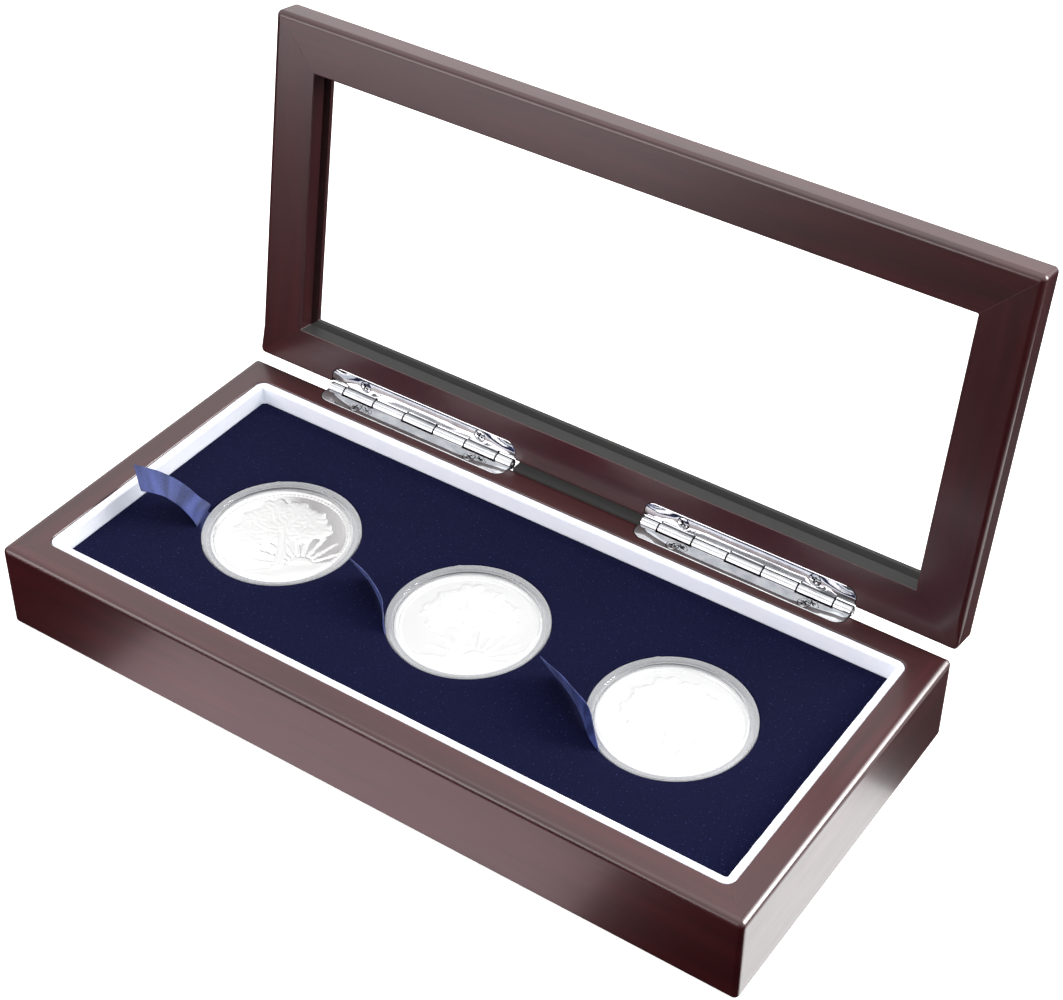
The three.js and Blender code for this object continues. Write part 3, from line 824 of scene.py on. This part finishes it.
def screw_parts(x, y, turn):
    """A countersunk head with a cross recess, low enough to clear the one facing it, and the cone under it."""
    radius, dome, rings, segments = SCREW_HEAD_RADIUS, 0.12, 12, 48
    arm, half_width, deep = 1.05, 0.24, 0.75

    def height(px, py):
        r = math.hypot(px, py)
        z = dome * (1 - (r / radius) ** 2)
        u = px * math.cos(turn) + py * math.sin(turn)
        v = -px * math.sin(turn) + py * math.cos(turn)
        taper = 1 - min(r / arm, 1) * 0.55
        in_cross = min(abs(u), abs(v)) < half_width and max(abs(u), abs(v)) < arm
        return z - (deep * taper if in_cross else 0)

    rows = []
    for k in range(1, rings + 1):
        r = radius * k / rings
        ring = [on_circle((0, 0), r, a) for a in round_turn(segments)]
        rows.append([(x + px, y + py, RIM_TOP + 0.01 + height(px, py)) for px, py in ring])
    for r, z in ((radius, RIM_TOP - 0.15), (0.8, RIM_TOP - 1.1), (0.7, RIM_TOP - 5.5), (0.2, RIM_TOP - 6.0)):
        rows.append([(*on_circle((x, y), r, a), z) for a in round_turn(segments)])
    return capped(rows)


# ---- base and lid

BASE_SEAM = 0.005
LID_SEAM = 0.006
LINING_SEAM = 0.02
LINING_WOBBLE = 0.10
LID_GRAIN_SHIFT = (2000, 500)  # so that the lid's grain isn't the base's


def on_sill(face):
    """Whether a face of the lid's back rail, shut, is in the window's opening."""
    centre = face.center / MM
    inset = (CASE[3] - centre.y) * WINDOW["side"] / WINDOW["back"]
    in_groove = GLASS_LOW.z - 2 * GAP < centre.z < GLASS_HIGH.z + 2 * GAP
    return inset > WINDOW["side"] - 0.06 or (in_groove and inset > WINDOW["side"] - GROOVE_DEPTH - 1)


for side in SIDES:
    ratio = (1, BACK_RIM_WIDTH / RIM_WIDTH)
    verts, faces, local = frame_rail(side, CASE, base_section, base_radius, ratio, 24, BASE_SEAM)
    rail = new_object(f"look_base_{side}_rail", finish_mesh("rail", verts, faces, 30, local), LACQUER)
    if side == "back":
        for hinge_side in ("left", "right"):
            cut(rail, *hinge_cutters(hinge_facts(hinge_side), False))
    place(rail, "base", "lacquered_wood", f"base_{side}_rail")

    ratio = (WINDOW["front"] / WINDOW["side"], WINDOW["back"] / WINDOW["side"])
    verts, faces, local = frame_rail(side, CASE, lid_section, lid_radius, ratio, 28, LID_SEAM)
    local = [(a + LID_GRAIN_SHIFT[0], b + LID_GRAIN_SHIFT[1], c) for a, b, c in local]
    rail = new_object(f"look_lid_{side}_rail", finish_mesh("rail", verts, faces, 30, local), LACQUER, DULL)
    # The sill's faces take the dark grey finish, whose faint glow is a painted reflection.
    if side == "back":
        for face in rail.data.polygons:
            face.material_index = int(on_sill(face))
        for hinge_side in ("left", "right"):
            cut(rail, *hinge_cutters(hinge_facts(hinge_side), True))
    place(rail, "lid", "lacquered_wood", f"lid_{side}_rail", turned=True)

    verts, faces, _ = frame_rail(
        side, LINING, lining_section, lining_radius, (1, 1), 60, LINING_SEAM, LINING_WOBBLE
    )
    piece(f"lining_{side}", "base", "white_lining", finish_mesh("lining", verts, faces, 50), FLOCK)

for hinge_side in ("left", "right"):
    hinge = hinge_facts(hinge_side)
    for on_lid, owner in ((False, "base"), (True, "lid")):
        verts, faces = leaf_parts(hinge, on_lid)
        mesh = finish_mesh("leaf", verts, faces, 25)
        piece(f"hinge_{hinge_side}_{owner}_leaf", owner, "hinge_chrome", mesh, CHROME, turned=on_lid)
        for i, s in enumerate(hinge["screws"], 1):
            verts, faces = screw_parts(s.x, s.y, 0.5 + 1.1 * i + 0.7 * on_lid)
            if on_lid:
                verts = flip_to_lid(verts)
            mesh = finish_mesh("screw", verts, faces, 30)
            piece(f"hinge_{hinge_side}_{owner}_screw_{i}", owner, "hinge_chrome", mesh, CHROME, turned=on_lid)
    mesh = finish_mesh("pin", *pin(hinge), 40)
    piece(f"hinge_{hinge_side}_pin", "base", "hinge_chrome", mesh, CHROME)

# The ledge behind the back rail, from one hinge to the other. Its dark grey is painted shade for the gap there,
# with a faint painted reflection.
LEDGE_CORNER = 0.6
low, high = box_mm("base_back_ledge")
rows = []
for inset, z in ((0.35, low.z), (0, low.z + 0.35), (0, high.z - 0.45), (0.13, high.z - 0.13), (0.45, high.z)):
    radius = LEDGE_CORNER - 0.8 * inset
    back = inset + radius
    left, right, near, far = low.x + back, high.x - back, low.y + back, high.y - back
    loop = arc(right, far, radius, 0, 90, 4) + arc(left, far, radius, 90, 180, 4)
    loop += arc(left, near, radius, 180, 270, 4) + arc(right, near, radius, 270, 360, 4)
    rows.append([(x, y, z) for x, y in loop])
piece("base_back_ledge", "base", "lacquered_wood", finish_mesh("ledge", *capped(rows), 30), DULL)

# ---- velvet board

BOARD_ROUND = 0.4
RECESS_SOFTNESS = 0.42  # the nap closes in on the capsule
RECESS_STEPS = 96
SLOT_BEARING = 198.0
SLOT_DEPTH = 1.0
SLOT_HALF_ANGLE = 14.0


def recess_row(centre, z, extra, slotted):
    points = []
    for degrees in [360 * i / RECESS_STEPS for i in range(RECESS_STEPS)]:
        r = RECESS_RADIUS - RECESS_SOFTNESS + extra
        if slotted:
            r += SLOT_DEPTH * math.exp(-(((degrees - SLOT_BEARING) / SLOT_HALF_ANGLE) ** 4))
        points.append((*on_circle(centre, r, math.radians(degrees)), z))
    return points


def velvet_rows(row_at):
    """Rows from the top face's edge over a soft edge and down to the underside. row_at(grown, z) gives one."""
    rows = []
    for k in range(6):
        a = math.radians(90 * k / 5)
        rows.append(row_at(BOARD_ROUND * (1 - math.sin(a)), VELVET_HIGH.z - BOARD_ROUND * (1 - math.cos(a))))
    return rows + [row_at(0, VELVET_LOW.z)]


def board_edge(inwards, z):
    rect = (VELVET_LOW.x + inwards, VELVET_HIGH.x - inwards, VELVET_LOW.y + inwards, VELVET_HIGH.y - inwards)
    points = []
    for side in SIDES:
        for run in [2 * i / 40 - 1 for i in range(41)]:
            points.append((*outline_point(side, run, 0, rect, 1.0), z))
    return points


def velvet_lift(x, y):
    broad = noise.noise(Vector((x, y, 0)) * 0.03)
    return 0.10 * broad + 0.03 * noise.noise(Vector((x, y, 7)) * 0.2)


# Points that let the velvet's top rise and fall a little.
COLUMNS, ROWS, INSET, STRAY = 52, 22, 2.2, 0.7


def strewn(low, high, k, count):
    return low + INSET + (high - low - 2 * INSET) * k / (count - 1) + random.uniform(-STRAY, STRAY)


centres = [middle(f"capsule_{p}_base") for p in PLACES]
random.seed(5)
scatter = []
for i in range(COLUMNS):
    for k in range(ROWS):
        x = strewn(VELVET_LOW.x, VELVET_HIGH.x, i, COLUMNS)
        y = strewn(VELVET_LOW.y, VELVET_HIGH.y, k, ROWS)
        if all(math.hypot(x - c.x, y - c.y) > RECESS_RADIUS + 2.9 for c in centres):
            scatter.append((x, y))
holes = []
for i, c in enumerate(centres):
    holes.append(velvet_rows(lambda grown, z, c=c, i=i: recess_row(c, z, grown, i == 0)))
verts, faces = board(velvet_rows(board_edge), holes, scatter, velvet_lift)
piece("velvet_board", "base", "navy_velvet", finish_mesh("velvet", verts, faces, 60), VELVET)

# ---- capsules and coins

CAPSULE_SEGMENTS = 120
TAB_BEARING = 132.0


def capsule_profiles(name):
    low, high = box_mm(f"capsule_{name}_base")
    cover_low, cover_high = box_mm(f"capsule_{name}_cover")
    coin_low, coin_high = box_mm(f"coin_{name}")
    radius = (high.x - low.x) / 2
    seat = (coin_high.x - coin_low.x) / 2 + 0.1
    z0, z1, top = low.z, high.z, cover_high.z
    mid = (z0 + top) / 2
    split = (radius + seat) / 2
    base = [
        (0.01, z0), (radius - 0.5, z0), (radius - 0.12, z0 + 0.12), (radius, z0 + 0.5), (radius, mid - GAP),
        (split, mid - GAP), (split - 0.1, z1), (seat, z1), (seat, coin_low.z - 0.05), (0.01, coin_low.z - 0.05),
    ]
    ceiling = coin_high.z + 0.05
    cover = [
        (0.01, top - 0.05), (seat - 0.6, top - 0.05), (seat - 0.15, top - 0.28), (seat + 0.15, top - 0.28),
        (seat + 0.35, top - 0.02), (radius - 0.75, top), (radius - 0.38, top - 0.05), (radius - 0.12, top - 0.2),
        (radius, top - 0.5), (radius, mid), (split + 0.1, mid), (split + 0.05, z1 + 0.15), (seat, z1 + 0.15),
        (seat, ceiling), (0.01, ceiling),
    ]
    return base, cover, seat


def make_capsule(name, centre):
    base, cover, seat = capsule_profiles(name)

    def tab(angle, r, z):
        away = abs((math.degrees(angle) - TAB_BEARING + 180) % 360 - 180)
        on_ring = seat + 0.3 < r < seat + 2.2 and z > base[-1][1] + 4
        return r, z + (0.22 if away < 2.2 and on_ring else 0)

    for kind, profile, shape in (("base", base, None), ("cover", cover, tab)):
        verts, faces = turned_ring(profile, CAPSULE_SEGMENTS, centre, shape)
        mesh = finish_mesh("capsule", verts, faces, 25)
        for polygon in mesh.polygons:
            away = math.hypot(polygon.center.x / MM - centre.x, polygon.center.y / MM - centre.y)
            polygon.material_index = int(away > seat - 0.7)
        body = f"coin_capsule_{name}"
        piece(f"capsule_{name}_{kind}", body, "clear_plastic", mesh, CLEAR, CAPSULE_EDGE)


# The coins' relief is a made-up design: a broad tree, a half sun with rays, low hills, and beads round the rim.
TREE_LOBES = [
    (-0.08, 0.56, 0.24), (0.20, 0.50, 0.22), (-0.34, 0.42, 0.20), (0.42, 0.30, 0.20), (-0.50, 0.18, 0.18),
    (0.10, 0.24, 0.26), (-0.22, 0.16, 0.24), (0.52, 0.06, 0.16), (0.28, 0.00, 0.18), (-0.42, -0.04, 0.15),
]
SUN = (0.22, -0.66, 0.17)


def relief(u, v):
    """Height above the field in millimetres, and how frosted the surface is, at a point of the unit disc."""
    r = math.hypot(u, v)
    height, frost = 0.0, 0.0
    ground = -0.66 + 0.05 * math.sin(3.1 * u + 0.6) + 0.02 * math.sin(11 * u)
    dx, dy = u - SUN[0], v - SUN[1]
    away = math.hypot(dx, dy)
    if r < 0.90:
        if dy > 0 and SUN[2] + 0.05 < away < 0.66:
            beam = (math.degrees(math.atan2(dy, dx)) + 7) % 18 - 9
            if abs(beam) * away < 0.85:
                height, frost = 0.16, 1.0
        if away < SUN[2]:
            height, frost = 0.24 + 0.1 * (1 - away / SUN[2]), 1.0
        trunk = -0.10 + 0.10 * math.sin(2.2 * (v + 0.7))
        girth = 0.065 + 0.10 * max(0.0, -0.45 - v) + 0.05 * max(0.0, v + 0.1)
        if -0.70 < v < 0.25 and abs(u - trunk) < girth:
            height, frost = 0.26 + 0.05 * math.sin(60 * (u - trunk)), 1.0
        for cx, cy, size in TREE_LOBES:
            lobe = math.hypot(u - cx, v - cy)
            bearing = math.atan2(v - cy, u - cx)
            edge = size * (1 + 0.10 * math.sin(7 * bearing + 9 * cx))
            if lobe < edge:
                leaf = 0.05 * math.sin(34 * lobe + 3 * math.sin(5 * bearing))
                height, frost = max(height, 0.20 + 0.14 * (1 - (lobe / edge) ** 2) + leaf), 1.0
        if v < ground:
            height, frost = 0.18 + 0.04 * math.sin(26 * (v - ground)), 1.0
    if 0.905 < r < 0.945 and math.cos(96 * math.atan2(v, u)) > -0.2:
        height, frost = 0.14, 0.6
    return height, frost


def make_coin(name, turn):
    low, high = box_mm(f"coin_{name}")
    centre = (low + high) / 2
    radius = (high.x - low.x) / 2
    rings, segments, field_drop, rim = 56, 288, 0.40, 0.955
    face_z = high.z - field_drop
    rows, marks = [], []
    for k in range(1, rings + 1):
        share = k / rings
        row = []
        for a in round_turn(segments):
            h, frost = relief(*on_circle((0, 0), share, a - turn))
            if share > rim:
                h, frost = field_drop - 0.02, 0.05
            r = radius * share - (0.12 if k == rings else 0)
            row.append((*on_circle(centre, r, a), face_z + h))
            marks.append(frost)
        rows.append(row)
    for drop, inwards in ((0.14, 0.0), (high.z - low.z - 0.14, 0.0), (high.z - low.z, 0.12)):
        row = []
        for i, a in enumerate(round_turn(segments)):
            reeding = 0.09 if i % 2 else 0.0
            row.append((*on_circle(centre, radius - inwards - reeding, a), high.z - drop))
            marks.append(0.0)
        rows.append(row)
    mesh = finish_mesh("coin", *capped(rows), 40, marks=marks)
    piece(f"coin_{name}", f"coin_capsule_{name}", "proof_silver", mesh, SILVER[name])


for name, centre, turn in zip(PLACES, centres, (41, 24, 30)):
    make_capsule(name, centre)
    make_coin(name, math.radians(turn))

# ---- ribbons

RIBBON_WIDTH = 10.0
RIBBON_THICKNESS = 0.2


def smooth_path(points, steps):
    """Evenly many places along each stretch of a centripetal spline through the points."""
    points = [Vector(p) for p in points]
    ends = [2 * points[0] - points[1]] + points + [2 * points[-1] - points[-2]]
    made = []
    for i in range(len(points) - 1):
        p = ends[i : i + 4]
        t = [0.0]
        for a, b in zip(p, p[1:]):
            t.append(t[-1] + max((b - a).length, 1e-6) ** 0.5)

        def between(a, b, ta, tb, at):
            return a + (b - a) * ((at - ta) / (tb - ta))

        for k in range(steps + (i == len(points) - 2)):
            at = t[1] + (t[2] - t[1]) * k / steps
            first = [between(p[n], p[n + 1], t[n], t[n + 1], at) for n in range(3)]
            second = [between(first[n], first[n + 1], t[n], t[n + 2], at) for n in range(2)]
            made.append(between(second[0], second[1], t[1], t[2], at))
    return made


def turning(across, count):
    """The direction across the ribbon at each place, turning evenly between the given ones."""
    across = [Vector(w) for w in across]
    made = []
    for i in range(count):
        reach = (len(across) - 1) * i / (count - 1)
        k = min(int(reach), len(across) - 2)
        made.append(across[k].lerp(across[k + 1], reach - k))
    for _ in range(6):
        inner = [(a + 2 * b + c) / 4 for a, b, c in zip(made, made[1:], made[2:])]
        made = [made[0], *inner, made[-1]]
    return made


def ribbon_mesh(points, across, steps, curl, cut_length):
    """A strip along the points. curl bows it, and its first end is cut on a slant over cut_length."""
    middle_line = smooth_path(points, steps)
    n = len(middle_line)
    widths = turning(across, n)
    rows, local = [], []
    travelled = 0.0
    for i, p in enumerate(middle_line):
        before, after = middle_line[max(i - 1, 0)], middle_line[min(i + 1, n - 1)]
        along = (after - before).normalized()
        w = widths[i]
        side = (w - along * w.dot(along)).normalized()
        face = along.cross(side)
        if i:
            travelled += (p - middle_line[i - 1]).length
        kept = min(1.0, 0.1 + 0.9 * travelled / cut_length) if cut_length else 1.0
        row = []
        spans = [k / 8 - 0.5 for k in range(9)]
        for sign, order in ((1, spans), (-1, spans[::-1])):
            for s in order:
                reach = -0.5 + (s + 0.5) * kept
                bend = curl * (4 * reach * reach - 0.5)
                q = p + side * reach * RIBBON_WIDTH + face * (bend + sign * RIBBON_THICKNESS / 2)
                row.append(tuple(q))
                local.append((travelled, reach * RIBBON_WIDTH, 0))
        rows.append(row)
    verts, faces = capped(rows)
    return verts, faces, local, travelled


# The slanting ribbon's free end, as a place and the direction across.
SLANTING_TAIL = (
    ((-89.1, -8.8, 24.5), (0.47, -0.93, 0.10)),
    ((-92.7, -10.0, 28.0), (0.64, -0.77, -0.08)),
    ((-96.7, -12.9, 32.0), (0.63, -0.78, 0.00)),
    ((-100.2, -18.8, 36.8), (0.70, -0.71, -0.09)),
)

# The standing ribbons: (bearing, radius, height) round the capsule, then places from the recess's middle.
STANDING_ARCS = {
    "middle": ((243, 23, 21.1), (235, 23, 22.2), (228, 23, 23.8), (221, 23, 25.4), (214, 23.1, 26.8)),
    "right": ((259, 23, 21.1), (251, 23, 22.2), (244, 23, 23.8), (237, 23, 25.4), (230, 23.05, 26.8)),
}
SLANT_CUT = {"middle": 20.0, "right": 13.8}  # the hidden end's slanting cut, along the ribbon
STANDING_TAILS = {
    "middle": (
        ((-23.6, -9.9, 27.1), (-0.15, -0.18, 0.97)),
        ((-29.8, -6.1, 26.7), (-0.20, -0.36, 0.91)),
        ((-34.5, -4.2, 26.6), (-0.20, -0.42, 0.89)),
    ),
    "right": (
        ((-20.5, -14.2, 27.3), (-0.13, -0.19, 0.97)),
        ((-26.4, -10.6, 26.9), (-0.17, -0.29, 0.94)),
        ((-31.5, -8.3, 26.7), (-0.20, -0.39, 0.90)),
        ((-34.5, -7.0, 26.6), (-0.21, -0.40, 0.89)),
    ),
}


def slanting_ribbon(centre):
    """From under the capsule, up the slot and out to the left."""
    floor, wall, rim = RECESS_FLOOR + 0.2, RECESS_RADIUS + 0.25, VELVET_HIGH.z
    course = ((8, floor), (16, floor), (21.6, floor), (22.8, floor + 0.2), (wall - 0.1, floor + 0.9))
    course += ((wall, floor + 2.2), (wall + 0.05, rim - 1.2), (wall + 0.55, rim + 0.6))
    points = [(*on_circle(centre, r, math.radians(SLOT_BEARING)), z) for r, z in course]
    across = [(*on_circle((0, 0), 1, math.radians(SLOT_BEARING + 90)), 0)] * len(points)
    across += [w for _, w in SLANTING_TAIL]
    return points + [p for p, _ in SLANTING_TAIL], across


def standing_ribbon(centre, name):
    """On edge: round the capsule's front left, then away to the left."""
    points = [(*on_circle(centre, r, math.radians(degrees)), z) for degrees, r, z in STANDING_ARCS[name]]
    across = [(0, 0, 1)] * len(points)
    for (x, y, z), w in STANDING_TAILS[name]:
        points.append((centre.x + x, centre.y + y, z))
        across.append(w)
    return points, across


for name, centre in zip(PLACES, centres):
    if name == "left":
        points, across = slanting_ribbon(centre)
        verts, faces, local, length = ribbon_mesh(points, across, 7, 0.15, 0)
    else:
        points, across = standing_ribbon(centre, name)
        verts, faces, local, length = ribbon_mesh(points, across, 8, 0.12, SLANT_CUT[name])
    mesh = finish_mesh("ribbon", verts, faces, 60, local)
    ribbon = piece(f"ribbon_{name}", "base", "satin_ribbon", mesh, SATIN)
    if name == "left":
        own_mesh(ribbon)

# ---- CAD nodes that stay

for node, finish in (
    ("base_bottom_panel", BOARD),
    ("underside_felt", FELT),
    ("insert_base_board", VELVET),
    ("lid_glass", PANE),
):
    mesh = frame["nodes"][node].data
    mesh.materials.clear()
    mesh.materials.append(finish)

# ---- camera, lights and floor


def aim(obj, target):
    obj.rotation_euler = (Vector(target) - obj.location).to_track_quat("-Z", "Y").to_euler()


camera = bpy.data.objects.new("camera", bpy.data.cameras.new("camera"))
bpy.context.scene.collection.objects.link(camera)
camera.location = (0.26748, -0.36362, 0.4333)
camera.rotation_euler = [math.radians(a) for a in (50.854, -1.112, 33.494)]
camera.data.sensor_width = 36
camera.data.lens = 75.71
camera.data.shift_x = -0.0437
camera.data.shift_y = -0.0079
bpy.context.scene.camera = camera


def area_light(name, location, target, size, power, colour=(1, 1, 1)):
    light = bpy.data.lights.new(name, "AREA")
    light.shape = "RECTANGLE"
    light.size, light.size_y = size
    light.energy = power
    light.color = colour
    obj = bpy.data.objects.new(name, light)
    bpy.context.scene.collection.objects.link(obj)
    obj.location = location
    aim(obj, target)
    return obj


area_light("key", (0.75, 0.62, 0.75), (0, 0, 0.03), (0.7, 0.7), 12)
area_light("top", (-0.15, 0.10, 1.1), (0, 0, 0), (0.9, 0.9), 2)
area_light("front", (-0.55, -0.95, 0.35), (0, 0, 0.03), (0.7, 0.5), 5, (1.0, 0.93, 0.93))

# Seen only as a highlight along edges that face it.
area_light("edge", (1.05, 0.66, 0.55), (0.12, -0.07, 0.03), (0.5, 0.7), 26).visible_diffuse = False

world = bpy.data.worlds.new("studio")
bpy.context.scene.world = world
sky = Nodes(world)
direction = sky.add("TexCoord").outputs["Generated"]
split = sky.add("SeparateXYZ")
sky.join(direction, split.inputs[0])
level = sky.spread(split.outputs["Z"], -0.05, 0.10, 0.04, 1.25)
# The low sky in front is dim, so that polished metal has something dark to mirror.
forward = sky.sum(split.outputs["Z"], split.outputs["Y"], 0.9)
dim = sky.spread(forward, -0.35, 0.12, 0.2, 1.0)
background = sky.find("BACKGROUND")
background.inputs["Color"].default_value = (1, 1, 1, 1)
sky.join(sky.math("MULTIPLY", level, dim), background.inputs["Strength"])

FLOOR_SIZE = 8000


def flat_sheet(name, width, depth):
    x, y = width / 2, depth / 2
    return finish_mesh(name, [(-x, -y, 0), (x, -y, 0), (x, y, 0), (-x, y, 0)], [(0, 1, 2, 3)])


floor_paint = Paint("floor").set(Roughness=1.0, Specular_IOR_Level=0.0, Emission_Strength=0.62)
floor_paint.set(Emission_Color=(1, 1, 1, 1))
mottle = floor_paint.noise(0.02, 2)
pale = floor_paint.ramp(mottle, (0, (0.90, 0.90, 0.90)), (1, (0.93, 0.93, 0.93)))
floor_paint.to(pale, "Base Color")
floor = new_object("floor", flat_sheet("floor", FLOOR_SIZE, FLOOR_SIZE), floor_paint.material)
floor.location.z = -0.0002
floor.visible_glossy = False
floor.visible_diffuse = False

CARD_HEIGHT = -100


def card(name, x, y, width, depth, strength, colour=(1, 1, 1)):
    """A bright card under the floor, seen only in glossy faces."""
    paint = bpy.data.materials.new(name)
    paint.cycles.emission_sampling = "NONE"
    nodes = Nodes(paint)
    nodes.tree.nodes.clear()
    glow = nodes.add("Emission")
    nodes.join(strength, glow.inputs["Strength"])
    nodes.join(colour, glow.inputs["Color"])
    nodes.join(glow.outputs[0], nodes.add("OutputMaterial").inputs["Surface"])
    obj = new_object(name, flat_sheet(name, width, depth), paint)
    obj.location = (x * MM, y * MM, CARD_HEIGHT * MM)
    for ray in ("camera", "diffuse", "transmission", "shadow"):
        setattr(obj, f"visible_{ray}", False)


card("card_front", -69, -150, 192, 120, 1.7, (1.0, 0.76, 0.80))
card("card_side", 195, 49, 120, 138, 2.4)
card("card_edge", 350, 150, 180, 300, 2.2)
card("card_left", -700, -900, 640, 420, 4.6, (1.0, 0.90, 0.92))

bpy.context.scene.view_settings.view_transform = "Standard"
